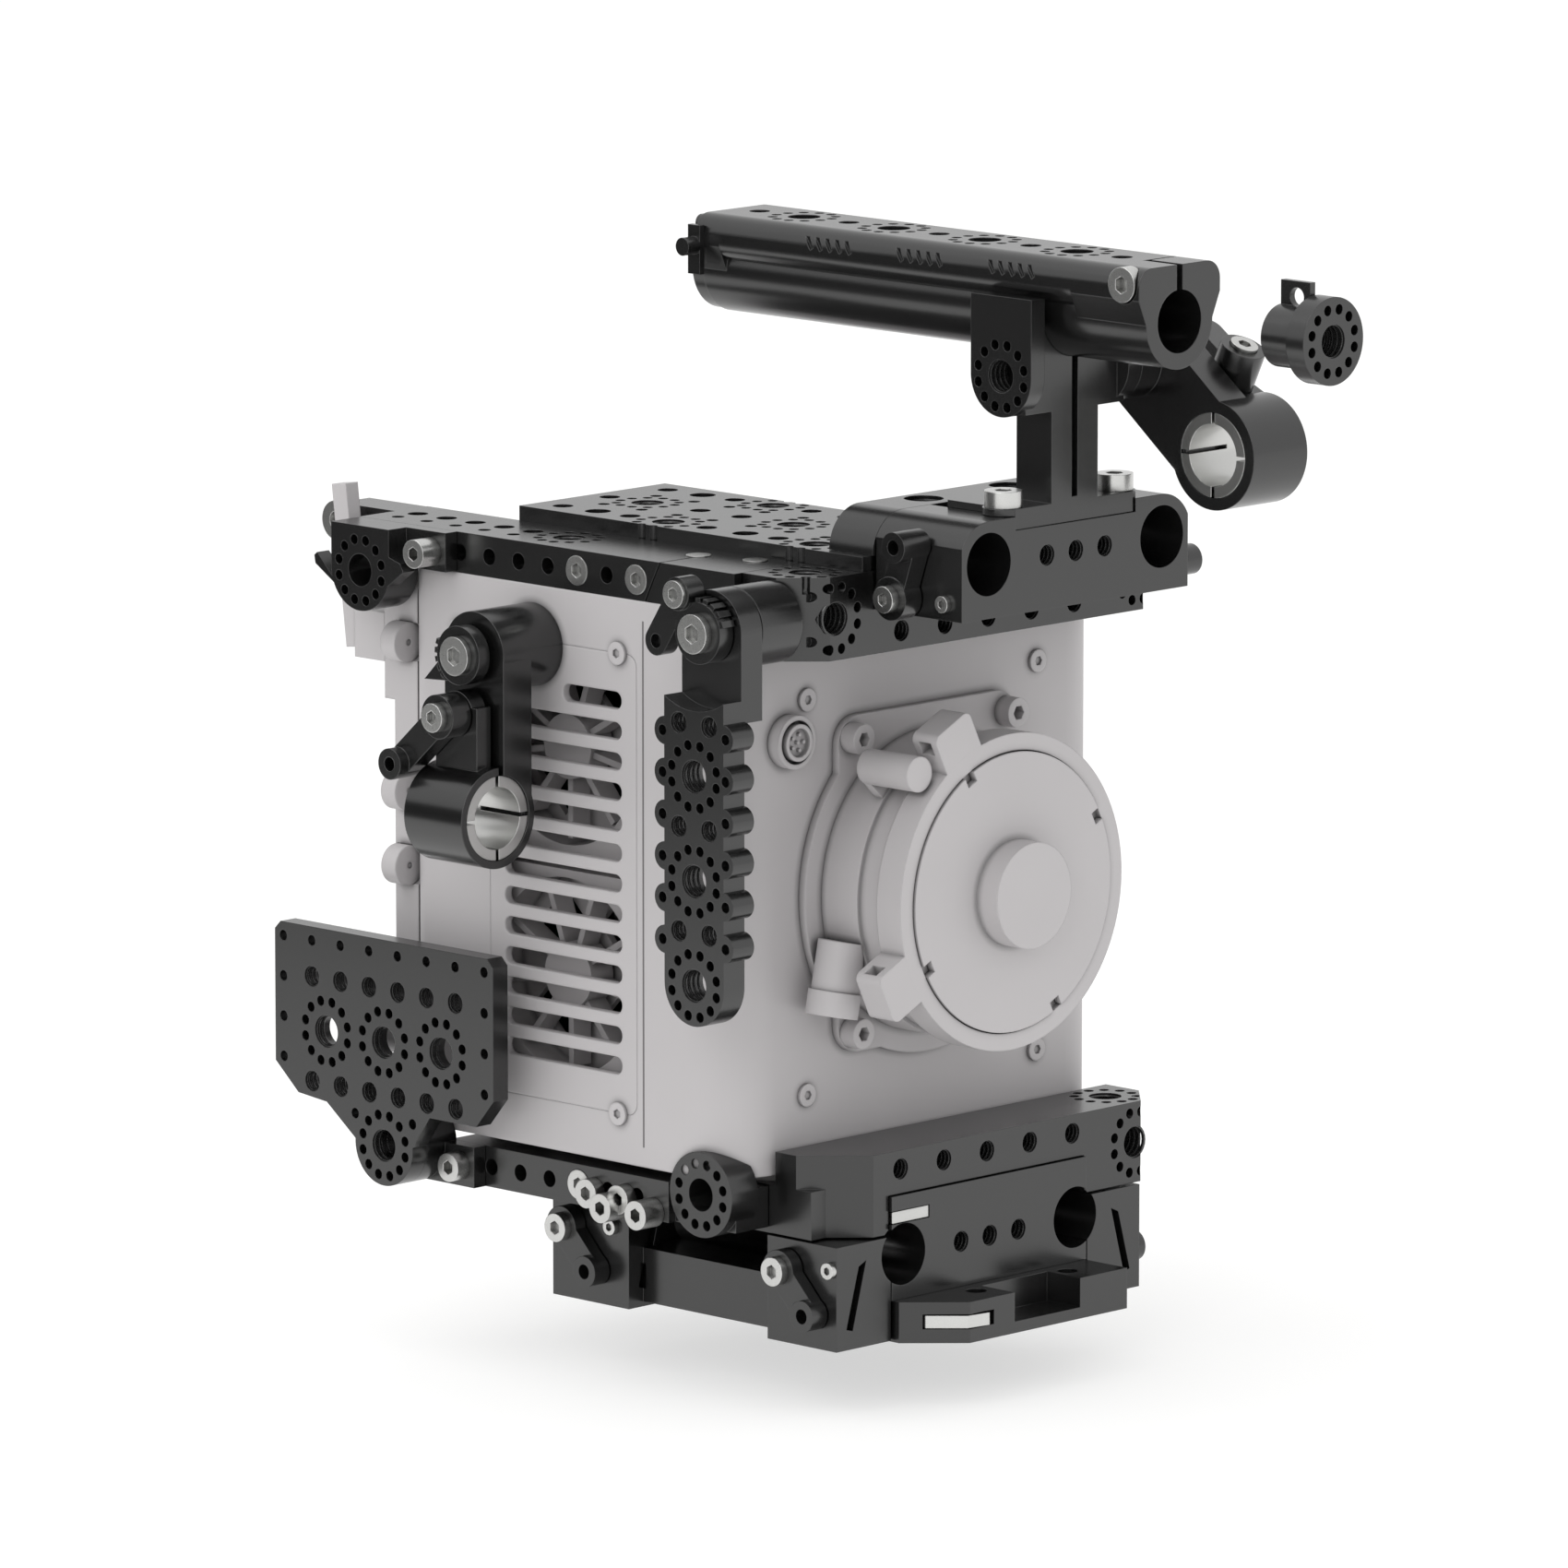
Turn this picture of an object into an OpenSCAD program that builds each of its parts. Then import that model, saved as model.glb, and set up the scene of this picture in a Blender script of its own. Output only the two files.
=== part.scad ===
// Cinema camera in a cage, with a top handle, rod clamps, accessory arms and a base plate.
// Right-handed frame, +Z up. The lens looks along -Y and the lens axis lies at X = 0.
// The origin is the centre of the base plate's underside. The shapes are drawn from the
// lens axis and the camera's front face, and seat() lifts each of them onto the base.

/* [Camera body] */
// Width of the camera body
body_w = 132; // [116:1:160]
// Length of the camera body, front face to rear cover
body_len = 109; // [100:1:130]
// Height of the body's top above the lens axis
body_top = 71.4; // [66:0.2:78]
// Depth of the body's underside below the lens axis
body_drop = 66; // [60:0.5:72]
// Radius of the body's two front corners
front_corner_r = 15; // [8:1:20]
// Radius of the body's two rear corners
rear_corner_r = 6; // [3:1:10]
// Wall of the body shell
body_wall = 3; // [2:0.5:4]
// Thickness of the louvred side panel
vent_t = 2.4; // [1.5:0.1:3]
// Length of the louvred side panel
vent_len = 50; // [44:1:52]
// Height of the louvred side panel
vent_h = 112; // [100:1:118]
// Pitch of the louvres
louvre_pitch = 7.4; // [6.5:0.1:9]
// Height of one louvre
louvre_h = 4.4; // [3:0.1:5]
// Diameter of the two cooling fans
fan_d = 46; // [36:1:48]

/* [Lens port] */
// Width of the raised plate around the lens port
port_plate_w = 76; // [70:1:84]
// Height of the raised plate around the lens port
port_plate_h = 92; // [86:1:100]
// Outer diameter of the mount barrel
barrel_d = 72; // [66:1:76]
// Outer diameter of the breech ring
ring_d = 77; // [72:1:84]
// Distance of the breech ring's front from the body
ring_front = 30; // [26:1:34]
// Thickness of the breech ring
ring_t = 8; // [6:0.5:10]
// Bore of the lens mount
throat_d = 54; // [50:1:58]
// Sideways spacing of the four port bolts
port_bolt_x = 53.6; // [50:0.2:58]
// Upright spacing of the four port bolts
port_bolt_z = 71.6; // [68:0.2:76]

/* [Cage] */
// Height of the cage's top face above the lens axis
cage_top = 81.4; // [80:0.2:90]
// Thickness of the two side rails
rail_t = 10; // [8:0.5:12]
// Width of the upper side rail
rail_w = 23; // [20:0.5:26]
// Section of the two front bars
bar_t = 20; // [18:0.5:22]
// Gap between the front bars and the camera's front face
bar_gap = 2; // [1:0.5:4]
// Height of the lower front bar's top below the lens axis
low_bar_drop = 60.2; // [58:0.2:62]
// Half length of the front bars
bar_half = 63.4; // [60:0.2:66]
// Width of the top cheese plate
cheese_w = 50; // [44:1:56]
// Height of the cheese plate above the cage's top face
cheese_rise = 3.6; // [2:0.2:4]

/* [Rods] */
// Diameter of the lightweight support rods
rod_d = 15; // [12:0.5:19]
// Sideways spacing of the rods
rod_pitch = 60; // [56:1:64]
// Depth of the lower rods below the lens axis
rod_drop = 85; // [84:0.5:90]
// Running clearance of a rod in its bore, on the radius
rod_clear = 0.05; // [0.02:0.01:0.2]
// Height of the lens axis above the base plate's underside
lens_h = 106; // [104:0.5:114]

/* [Handle] */
// Length of the handle
handle_len = 146; // [130:1:175]
// Height of the handle's bore above the lens axis
handle_z = 143; // [140:0.5:160]
// Distance of the handle's front from the camera's front face
handle_front = 83.5; // [76:0.5:90]
// Outer radius of the handle's round lower tube
handle_tube_r = 11.4; // [10.5:0.1:13]
// Width of the handle's upper block
handle_w = 28; // [26:0.5:32]
// Height of the handle's top above its bore
handle_top = 13.5; // [12:0.5:16]
// Distance that the end plug stands out of the handle
plug_out = 43; // [10:1:60]

/* [Holes] */
// Pitch of the small threaded holes
fine_pitch = 10; // [8:0.5:12]
// Pitch of the holes along the front bars
bar_pitch = 15; // [12:0.5:15]
// Minor diameter of a 1/4-20 thread
quarter_d = 5.1; // [4.9:0.1:5.4]
// Minor diameter of a 3/8-16 thread
three_eighth_d = 8; // [7.8:0.1:8.4]
// Diameter of one locating hole around a 3/8 thread
pin_hole_d = 2.5; // [2:0.1:2.8]
// Diameter of the circle of locating holes
pin_circle_d = 15.2; // [14:0.1:16]
// Depth of the locating holes
pin_depth = 4; // [2:0.5:5]

/* [Clearances] */
// Face gap between parts that turn against each other
turn_gap = 0.3; // [0.2:0.05:0.6]
// Radial clearance of a shaft in its bore
shaft_clear = 0.05; // [0.02:0.01:0.1]

/* [Hidden] */
$fn = 64;
eps = 0.01;
pins = 12;
body_half = body_w / 2;
rod_x = rod_pitch / 2;
rod_bore_r = rod_d / 2 + rod_clear;
base_mid_y = 22;
base_bottom = -lens_h;
rail_x = -body_half;
rail_bottom = cage_top - rail_t;
bar_front = -(bar_gap + bar_t);
bar_mid_y = bar_front + bar_t / 2;
upper_bar_z = cage_top - bar_t / 2;
lower_bar_z = -low_bar_drop - bar_t / 2 + 0.4;
low_rail_z = -body_drop - 2.4 - rail_t / 2;
ring_x = bar_half - 11;
screw_silver = "gainsboro";
alu_black = "#3a3a3c";
body_grey = "#c9c7c8";

// ---------- placing ----------

// Lifts a shape drawn from the lens axis onto the base plate's frame.
module seat() { translate([0, -base_mid_y, lens_h]) children(); }

// Turns a shape so that its +Z looks along -X, with its origin at the given point.
module to_left(x, y, z) { translate([x, y, z]) rotate([0, -90, 0]) children(); }

// Turns a shape so that its +Z looks along +X.
module to_right(x, y, z) { translate([x, y, z]) rotate([0, 90, 0]) children(); }

// Turns a shape so that its +Z looks along -Y, out of the camera's front.
module to_front(x, y, z) { translate([x, y, z]) rotate([90, 0, 0]) children(); }

// Box from its low corner to its high corner.
module block(low, high) { translate(low) cube(high - low); }

// ---------- repeated shapes ----------

// Flat outline of a rectangle centred on the origin, with round corners.
module rounded(w, h, r) {
    square([w - 2 * r, h], center = true);
    square([w, h - 2 * r], center = true);
    for (sx = [-1, 1], sy = [-1, 1])
        translate([sx * (w / 2 - r), sy * (h / 2 - r)]) circle(r);
}

// Flat outline of two equal discs joined by a straight bar, from one centre to the other.
module strap(from, to, r) {
    span = to - from;
    length = norm(span);
    translate(from) circle(r);
    translate(to) circle(r);
    translate(from) rotate(atan2(span.y, span.x)) translate([0, -r]) square([length, 2 * r]);
}

// Cutter for a blind or through hole that starts at the origin and goes down -Z.
module drill(d, depth) { translate([0, 0, -depth]) cylinder(h = depth + 1, d = d); }

// Cutter for a 3/8-16 hole with its ring of locating holes, going down -Z.
module rosette_cut(depth) {
    drill(three_eighth_d, depth);
    for (i = [0 : pins - 1])
        rotate(i * 360 / pins + 180 / pins) translate([pin_circle_d / 2, 0, 0])
            drill(pin_hole_d, pin_depth);
}

// Socket-head cap screw that stands on its seat at the origin, head up +Z.
module cap_screw(head_d, head_h, shank_d, shank_len) {
    difference() {
        cylinder(h = head_h, d = head_d);
        translate([0, 0, head_h - head_h * 0.6]) cylinder(h = head_h, d = head_d * 0.5, $fn = 6);
    }
    translate([0, 0, -shank_len]) cylinder(h = shank_len + eps, d = shank_d);
}

// Split bush with a thin flange, bored for a rod, standing on +Z from its flange face.
module split_bush(bore_d, outer_d, flange_d, length) {
    difference() {
        union() {
            cylinder(h = length, d = outer_d);
            translate([0, 0, length - 1]) cylinder(h = 1, d = flange_d);
        }
        drill_through(bore_d, length);
        for (a = [0 : 90 : 270])
            rotate(a) translate([bore_d / 2 - 1, -0.5, length * 0.3])
                cube([flange_d / 2, 1, length]);
    }
}

// Cutter for a hole that runs past both ends of a part that stands on the origin.
module drill_through(d, length) { translate([0, 0, -1]) cylinder(h = length + 2, d = d); }

// ---------- camera body ----------

// Outline of the body seen from above, with wide front corners and tight rear corners.
module body_outline(inset) {
    w = body_w - 2 * inset;
    front_r = front_corner_r - inset;
    rear_r = rear_corner_r - inset;
    length = body_len - 2 * inset;
    translate([-w / 2, inset]) {
        translate([front_r, 0]) square([w - 2 * front_r, length]);
        translate([0, front_r]) square([w, length - front_r - rear_r]);
        translate([rear_r, length - rear_r - eps]) square([w - 2 * rear_r, rear_r + eps]);
        for (x = [front_r, w - front_r]) translate([x, front_r]) circle(front_r);
        for (x = [rear_r, w - rear_r]) translate([x, length - rear_r]) circle(rear_r);
    }
}

vent_mid_y = 56;
vent_mid_z = 2;
fan_z = [32, -24];
fan_y = 60;

// Hollow body, open behind for the rear cover, at the side for the louvres and in front
// for the lens port.
module body_shell() {
    color(body_grey) seat() difference() {
        translate([0, 0, -body_drop]) linear_extrude(body_drop + body_top) body_outline(0);
        translate([0, 0, -body_drop + body_wall])
            linear_extrude(body_drop + body_top - 2 * body_wall) body_outline(body_wall);
        to_left(rail_x + body_wall + 1, vent_mid_y, vent_mid_z)
            linear_extrude(body_wall + 2) rounded(vent_h - 6, vent_len - 6, 3);
        to_left(rail_x + vent_t, vent_mid_y, vent_mid_z)
            linear_extrude(vent_t + 1) rounded(vent_h, vent_len, 3);
        to_front(0, body_wall + 1, 0) cylinder(h = body_wall + 2, d = throat_d + 6);
        to_left(rail_x + body_wall + 1, arm_left_y, arm_left_z) cylinder(h = 8, d = boss_bolt_d + 0.2);
        port_bolt_places() translate([0, 0, -body_wall - 1]) cylinder(h = body_wall + 2, d = port_bolt_hole);
        block([-body_half + 14, body_len - body_wall - 1, -body_drop + 14],
              [body_half - 14, body_len + 1, body_top - 14]);
    }
}

// Louvred side panel that sits in the body's side.
module vent_panel() {
    count = floor((vent_h - 14) / louvre_pitch);
    color(body_grey) seat() difference() {
        to_left(rail_x + vent_t - shaft_clear, vent_mid_y, vent_mid_z)
            linear_extrude(vent_t - shaft_clear)
                rounded(vent_h - 2 * shaft_clear, vent_len - 2 * shaft_clear, 3);
        to_left(rail_x + body_wall + 1, arm_left_y, arm_left_z) cylinder(h = 8, d = boss_bolt_d + 0.2);
        for (i = [0 : count - 1]) {
            z = vent_mid_z + (i - (count - 1) / 2) * louvre_pitch;
            under_boss = z > arm_left_z - 13;
            length = under_boss ? vent_len - 30 : vent_len - 10;
            to_left(rail_x + vent_t + 1, vent_mid_y - (vent_len - 10 - length) / 2, z)
                linear_extrude(vent_t + 2) rounded(louvre_h, length, louvre_h / 2 - 0.1);
        }
    }
}

// Raised pad around the lens port, with a round bulge that carries the mount barrel.
port_plate_t = 2.2;
port_bolt_hole = 4.2;
port_mid_z = 1.7;
module port_bolt_places() {
    to_front(0, 0, port_mid_z)
        for (sx = [-1, 1], sz = [-1, 1])
            translate([sx * port_bolt_x / 2, sz * port_bolt_z / 2, 0]) children();
}
module front_cover() {
    color(body_grey) seat() difference() {
        union() {
            to_front(0, 0, port_mid_z) linear_extrude(port_plate_t) rounded(port_plate_w - 14, port_plate_h - 10, 7);
            to_front(0, 0, 0) cylinder(h = port_plate_t, d = port_plate_h - 7);
        }
        to_front(0, 0, 0) drill_through(throat_d + 6, port_plate_t);
        port_bolt_places() drill_through(port_bolt_hole, port_plate_t);
    }
}

// Rear cover with a thicker upper block, screwed to the body's open back.
cover_t = 8;
cover_block_t = 11.5;
cover_inset = 3;
module rear_cover() {
    half = body_half - cover_inset;
    color(body_grey) seat() difference() {
        union() {
            translate([0, body_len, (body_top - body_drop) / 2]) rotate([-90, 0, 0])
                linear_extrude(cover_t) rounded(body_w - 2 * cover_inset, body_drop + body_top - 2 * cover_inset, 5);
            block([-half, body_len + cover_t - eps, 37], [half, body_len + cover_block_t, body_top - 6]);
        }
        rear_connector_places() translate([0, 0, -1]) cylinder(h = cover_t + 2, r = rear_knob_r + 0.1);
    }
}

// Round knobs set in the left edge of the rear cover, facing forward.
rear_knob_r = 4.9;
rear_knob_t = 5;
module rear_connector_places() {
    for (z = [-3, 15.4, -45, 52]) to_front(rail_x + 1.5, body_len + cover_t - 1.5, z) children();
}
module rear_connectors() {
    color(body_grey) seat() rear_connector_places() difference() {
        cylinder(h = rear_knob_t, r = rear_knob_r);
        translate([0, 0, rear_knob_t - 0.5]) cylinder(h = 1, d = 1.6);
    }
}

// Recessed round six-pin socket on the camera's front.
module front_socket() {
    color(body_grey) seat() to_front(-46.5, 0, 38.8) {
        difference() {
            cylinder(h = 3.6, d = 13);
            translate([0, 0, 1]) cylinder(h = 3, d = 10.6);
        }
        translate([0, 0, 1 - eps]) difference() {
            cylinder(h = 3.4, d = 9);
            translate([0, 0, 2]) cylinder(h = 3, d = 7);
        }
        for (a = [0 : 72 : 288])
            rotate(a) translate([2, 0, 3 - eps]) cylinder(h = 0.9, d = 0.9);
        translate([0, 0, 3 - eps]) cylinder(h = 0.9, d = 0.9);
    }
}

// Small flush screws of the front face and of the side panel.
front_screw_x = 40;
front_screw_z = 48;
side_screws = [[37, 58], [91.5, 57.4], [37, -54], [91.5, -54]];
module flush_screw() {
    difference() {
        cylinder(h = 0.9, d = 5.6);
        translate([0, 0, 0.3]) cylinder(h = 1, d = 2.4, $fn = 6);
    }
}
module body_screws() {
    color("silver") seat() {
        for (sx = [-1, 1], sz = [-1, 1])
            to_front(sx * front_screw_x, 0, sz * front_screw_z) flush_screw();
        for (s = side_screws) to_left(rail_x, s.x, s.y) flush_screw();
    }
}

// Round pads under the body, which rest on the lower front bar's shelf.
module foot_pads() {
    color(body_grey) seat()
        for (sx = [-1, 1], y = [8, body_len - 16])
            translate([sx * 44, y, -body_drop - 2]) cylinder(h = 2, d = 15);
}

// ---------- inside the camera ----------

// Sensor carrier behind the lens port.
module sensor_block() {
    color("dimgray") seat() difference() {
        block([-30, 14, -28], [30, 30, 28]);
        to_front(0, 14, 0) translate([0, 0, -6]) linear_extrude(7) square([38, 26], center = true);
    }
}

// Finned heat sink behind the sensor.
module heat_sink() {
    color("silver") seat() difference() {
        block([-36, 32, -34], [24, 74, 34]);
        for (i = [0 : 7]) block([-37, 38 + i * 4.4, -31], [20, 40.4 + i * 4.4, 31]);
    }
}

// Main circuit board with its largest chips.
module main_board() {
    color("darkgreen") seat() {
        block([-50, 84, -50], [50, 86, 56]);
        for (x = [-28, 6], z = [-24, 16]) block([x, 86 - eps, z], [x + 22, 88.5, z + 22]);
    }
}

// Two stacked fan frames behind the louvres.
fan_t = 11;
fan_x = rail_x + body_wall + 2;
module fan_frames() {
    color("#2c2c2e") seat() for (z = fan_z) to_right(fan_x, fan_y, z) difference() {
        linear_extrude(fan_t) rounded(fan_d + 6, fan_d + 6, 4);
        translate([0, 0, -1]) cylinder(h = fan_t - 1, d = fan_d + 2);
        translate([0, 0, fan_t - 3]) for (a = [45 : 90 : 315])
            rotate(a) translate([10, -7, 0]) linear_extrude(4) square([fan_d / 2 - 13, 14]);
    }
}

// Fan wheel with a hub and straight blades.
module fan_rotor(z) {
    hub_d = 16;
    color("#4a4a4d") seat() to_right(fan_x + 0.5, fan_y, z) {
        cylinder(h = fan_t - 3.5, d = hub_d);
        for (i = [0 : 8])
            rotate(i * 40) translate([hub_d / 2 - 1, -0.8, 1])
                cube([fan_d / 2 - hub_d / 2 + 0.6, 1.6, fan_t - 5]);
    }
}
module fan_rotor_upper() { fan_rotor(fan_z[0]); }
module fan_rotor_lower() { fan_rotor(fan_z[1]); }

// ---------- lens port ----------

ring_back = ring_front - ring_t;

// Fixed barrel between the port plate and the breech ring, with a stop post beside the ring.
stud_x = 30;
stud_z = 32;
stud_back = 11.4;
module mount_barrel() {
    step = 12;
    color(body_grey) seat() to_front(0, 0, 0) difference() {
        union() {
            translate([0, 0, port_plate_t]) cylinder(h = step, d = barrel_d + 2);
            translate([0, 0, port_plate_t]) cylinder(h = ring_back - turn_gap - port_plate_t, d = barrel_d);
            translate([0, 0, port_plate_t]) cylinder(h = ring_front - 3 - turn_gap - port_plate_t, d = ring_d - 15);
            translate([0, 0, port_plate_t]) cylinder(h = ring_front - 3 - port_plate_t, d = cap_d - 1.4);
            translate([-stud_x, stud_z, stud_back]) cylinder(h = ring_front - 2 - stud_back, d = 8.6);
            translate([0, 0, stud_back]) linear_extrude(2.4) strap([-stud_x, stud_z], [-23, 25], 4);
        }
        drill_through(throat_d, ring_front);
    }
}

// Breech ring with two hollow finger tabs, which turns to lock the lens.
tab_angles = [116, 206];
module breech_ring() {
    tab_t = ring_t;
    tab_w = 13;
    color(body_grey) seat() to_front(0, 0, 0) difference() {
        union() {
            translate([0, 0, ring_back]) cylinder(h = ring_t, d = ring_d);
            for (a = tab_angles)
                rotate(a) translate([ring_d / 2 + 3, 0, ring_front - tab_t])
                    linear_extrude(tab_t) rounded(13, tab_w, 2);
        }
        for (a = tab_angles)
            rotate(a) translate([ring_d / 2 + 4.6, -tab_w, ring_front - tab_t + 2]) cube([3.4, 2 * tab_w, tab_t - 4]);
        translate([0, 0, ring_back - 1]) cylinder(h = ring_t - 2, d = ring_d - 15 + 2 * shaft_clear);
        translate([0, 0, ring_back - 1]) cylinder(h = ring_t + 2, d = cap_d + 2 * shaft_clear);
        translate([0, 0, ring_front - 1.6]) cylinder(h = 3, d = cap_d + 7.6);
    }
}

// Port cap with four notches in its rim and a centre knob.
cap_d = 61;
cap_rim_d = cap_d + 7;
module port_cap() {
    color(body_grey) seat() to_front(0, 0, 0) {
        translate([0, 0, ring_front - 3]) cylinder(h = 3.2, d = cap_d - 0.6);
        difference() {
            translate([0, 0, ring_front - 1.3]) cylinder(h = 1.9, d = cap_rim_d);
            for (a = [27 : 90 : 297])
                rotate(a) translate([cap_rim_d / 2 - 2.6, -1.6, ring_front - 2]) linear_extrude(4) square([5, 3.2]);
        }
        translate([0, 0, ring_front - eps]) cylinder(h = 7.4, d = 25.8);
    }
}

// Four socket bolts of the port plate.
module mount_bolts() {
    color("silver") seat() port_bolt_places()
        translate([0, 0, port_plate_t]) cap_screw(7.4, 4.6, 3.9, port_plate_t + body_wall - 0.2);
}

// Lens data socket beside the barrel, which hangs down with a slotted cap.
module lens_socket() {
    color(body_grey) seat() difference() {
        translate([-36.5, -port_plate_t - 6.6, -10]) rotate([0, 12, 0]) {
            translate([0, 0, -12]) cylinder(h = 12, r = 5.8);
            translate([0, 0, -18]) difference() {
                cylinder(h = 6.02, r = 6.4);
                translate([0, 0, -1]) cylinder(h = 4, r = 4);
            }
        }
        to_front(0, 0, 0) cylinder(h = ring_back, d = barrel_d + 2.2);
    }
}

// ---------- cage ----------

// Bar across the camera's front at the top, with rosettes at its ends.
module front_bar_upper() {
    color(alu_black) seat() difference() {
        bar_with_chamfers(upper_bar_z);
        for (sx = [-1, 1]) to_front(sx * ring_x, bar_front, upper_bar_z) rosette_cut(9);
        for (sx = [-1, 1]) translate([sx * ring_x, bar_mid_y, cage_top]) rosette_cut(5.8);
        for (i = [-2 : 2]) to_front(i * bar_pitch, bar_front, upper_bar_z - bar_t / 2 + 4.6)
            drill(quarter_d, 12);
        to_left(-bar_half, hanger_y, hanger_z) drill(three_eighth_d, 6);
    }
}

// Square bar with its two front end corners cut off.
module bar_with_chamfers(mid_z) {
    cut = 9;
    translate([0, 0, mid_z - bar_t / 2]) linear_extrude(bar_t) polygon([
        [-bar_half, bar_front + bar_t], [-bar_half, bar_front + cut], [-bar_half + cut, bar_front],
        [bar_half - cut, bar_front], [bar_half, bar_front + cut], [bar_half, bar_front + bar_t]]);
}

// Rail along the camera's left top edge, scored by a slanted line, with a narrow tail.
rail_hole_y = [for (i = [0 : 6]) 31 + i * fine_pitch];
rail_front = bar_front + bar_t + 0.2;
rail_rear = body_len + 17;
tail_rear = body_len + 37;
tail_x = [-54, -43.4];
module side_rail_upper() {
    slant_y = 25.5;
    color(alu_black) seat() difference() {
        union() {
            block([rail_x, rail_front, rail_bottom], [rail_x + rail_w, rail_rear, cage_top]);
            block([tail_x[0], rail_rear - eps, rail_bottom], [tail_x[1], tail_rear, cage_top]);
        }
        for (y = rail_hole_y) to_left(rail_x, y, rail_bottom + rail_t / 2) drill(quarter_d - 1, 9);
        for (y = [rail_hole_y[0], rail_hole_y[2]])
            to_left(rail_x, y, rail_bottom + rail_t / 2) drill(7.4, 2);
        to_left(rail_x, lug_screw_y, rail_bottom + rail_t / 2) drill(lug_shank_d + 0.2, 6);
        translate([rail_x + 12.4, 66, cage_top]) rosette_cut(8);
        for (i = [4.8 : 1 : 8.8]) {
            translate([rail_x + 6.3, 31 + i * fine_pitch, cage_top]) drill(3.2, 6);
            translate([rail_x + 13, 31 + i * fine_pitch, cage_top]) drill(quarter_d, 8);
        }
        for (p = cover_places) translate([p.x, p.y, cage_top]) drill(6.2, 0.4);
        translate([0, slant_y, rail_bottom + rail_t / 2]) rotate([27, 0, 0])
            block([rail_x - 1, -0.2, -rail_t], [rail_x + 12, 0.2, rail_t]);
    }
}

// Perforated plate on top of the camera.
cheese_x = -18;
cheese_front = bar_front + 0.3;
cheese_rear = 94;
cheese_top = cage_top + cheese_rise;
module cheese_plate() {
    low = body_top;
    row = 18;
    left = cheese_x - cheese_w / 2;
    right = cheese_x + cheese_w / 2;
    color(alu_black) seat() difference() {
        union() {
            block([left, rail_front, low], [right, cheese_rear, cheese_top]);
            block([left, cheese_front, cage_top], [right, rail_front + eps, cheese_top]);
        }
        for (sx = [-1, 1], y = [0.5, 50]) translate([cheese_x + sx * row, y, cheese_top]) rosette_cut(9);
        for (y = [25.5, 75]) translate([cheese_x, y, cheese_top]) rosette_cut(9);
        for (sx = [-1, 1]) {
            for (y = [13, 24, 37, 63, 74, 86])
                translate([cheese_x + sx * row, y, cheese_top])
                    drill(y == 24 || y == 74 ? 6.4 : quarter_d, 8);
            for (y = [6, 18, 31, 44, 56, 68, 81])
                translate([cheese_x + sx * row / 2, y, cheese_top]) drill(3, 6);
        }
        for (y = [-4, 8, 43, 57, 88]) translate([cheese_x, y, cheese_top]) drill(quarter_d, 8);
    }
}

// Rosette lug beside the rail's rear, with two small wings and a screwed tongue.
lug_x = -76;
lug_y = 115.5;
lug_z = 70.5;
lug_r = 10;
lug_screw_y = 97;
lug_shank_d = 3.9;
tongue_x = rail_x - 4;
module rear_lug_upper() {
    inner = rail_x - 0.1;
    color(alu_black) seat() difference() {
        union() {
            to_left(inner, lug_y, lug_z) cylinder(h = inner - lug_x, r = lug_r);
            block([lug_x, lug_y - lug_r, lug_z], [inner, lug_y + lug_r, cage_top]);
            block([tongue_x, lug_screw_y - 5, rail_bottom + 0.4], [inner, lug_y, cage_top]);
            to_left(lug_x + 4, lug_y, lug_z + 0.8) linear_extrude(4)
                polygon([[-5, 8], [2, 15], [1.2, 16], [-0.8, 15.6], [-8, 4], [-8, -4], [0.2, -15], [2.2, -14], [4, -8]]);
        }
        to_left(lug_x, lug_y, lug_z) rosette_cut(12);
        to_left(tongue_x, lug_screw_y, rail_bottom + rail_t / 2) drill(lug_shank_d + 0.2, 6);
    }
}

// Round bored stud on the side of the rail's tail.
module rear_stud() {
    color(alu_black) seat() to_left(tail_x[0] - 0.05, tail_rear - 2.6, rail_bottom + 6.2) difference() {
        cylinder(h = 3.2, r = 4.9);
        translate([0, 0, 1]) cylinder(h = 3, d = 4.4);
    }
}

// Leaning latch post at the camera's left rear, on its bracket.
module rear_latch() {
    color(body_grey) seat() {
        translate([-62, body_len + 21, 48.4]) rotate([-7, 0, 0]) cube([4, 5, 40]);
        block([-63, body_len + cover_block_t + 0.05, 46], [-57, body_len + 22, 58]);
    }
}

// Bar across the camera's front at the bottom, notched for the rod bridge.
low_bar_bottom = lower_bar_z - bar_t / 2;
bridge_half = rod_x + 4;
bridge_top = -low_bar_drop - 10.4;
shelf_top = -body_drop - 2;
shelf_low = shelf_top - 10.6;
shelf_front = base_mid_y - 1.8;
module front_bar_lower() {
    color(alu_black) seat() difference() {
        union() {
            translate([0, 0, low_bar_bottom]) linear_extrude(bar_t) polygon([
                [-ring_x, bar_front + bar_t], [-ring_x, bar_front + 13], [-39.4, bar_front],
                [bar_half - 9, bar_front], [bar_half, bar_front + 9], [bar_half, bar_front + bar_t]]);
            block([-ring_x, bar_front + 8, low_bar_bottom], [bar_half - 4, shelf_front - 0.2, shelf_top]);
        }
        block([-bridge_half - 0.2, bar_front - 1, low_bar_bottom - 1], [bridge_half + 0.2, shelf_front + 1, bridge_top + 0.2]);
        for (sx = [-1, 1]) to_front(sx * rod_x, shelf_front + 1, -rod_drop) cylinder(h = 60, r = rod_bore_r);
        to_front(ring_x, bar_front, lower_bar_z) rosette_cut(9);
        translate([ring_x, bar_mid_y, lower_bar_z + bar_t / 2]) rosette_cut(5.8);
        for (i = [-2 : 2]) to_front(i * bar_pitch, bar_front, lower_bar_z + bar_t / 2 - 4.6)
            drill(quarter_d, 12);
    }
}

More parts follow.
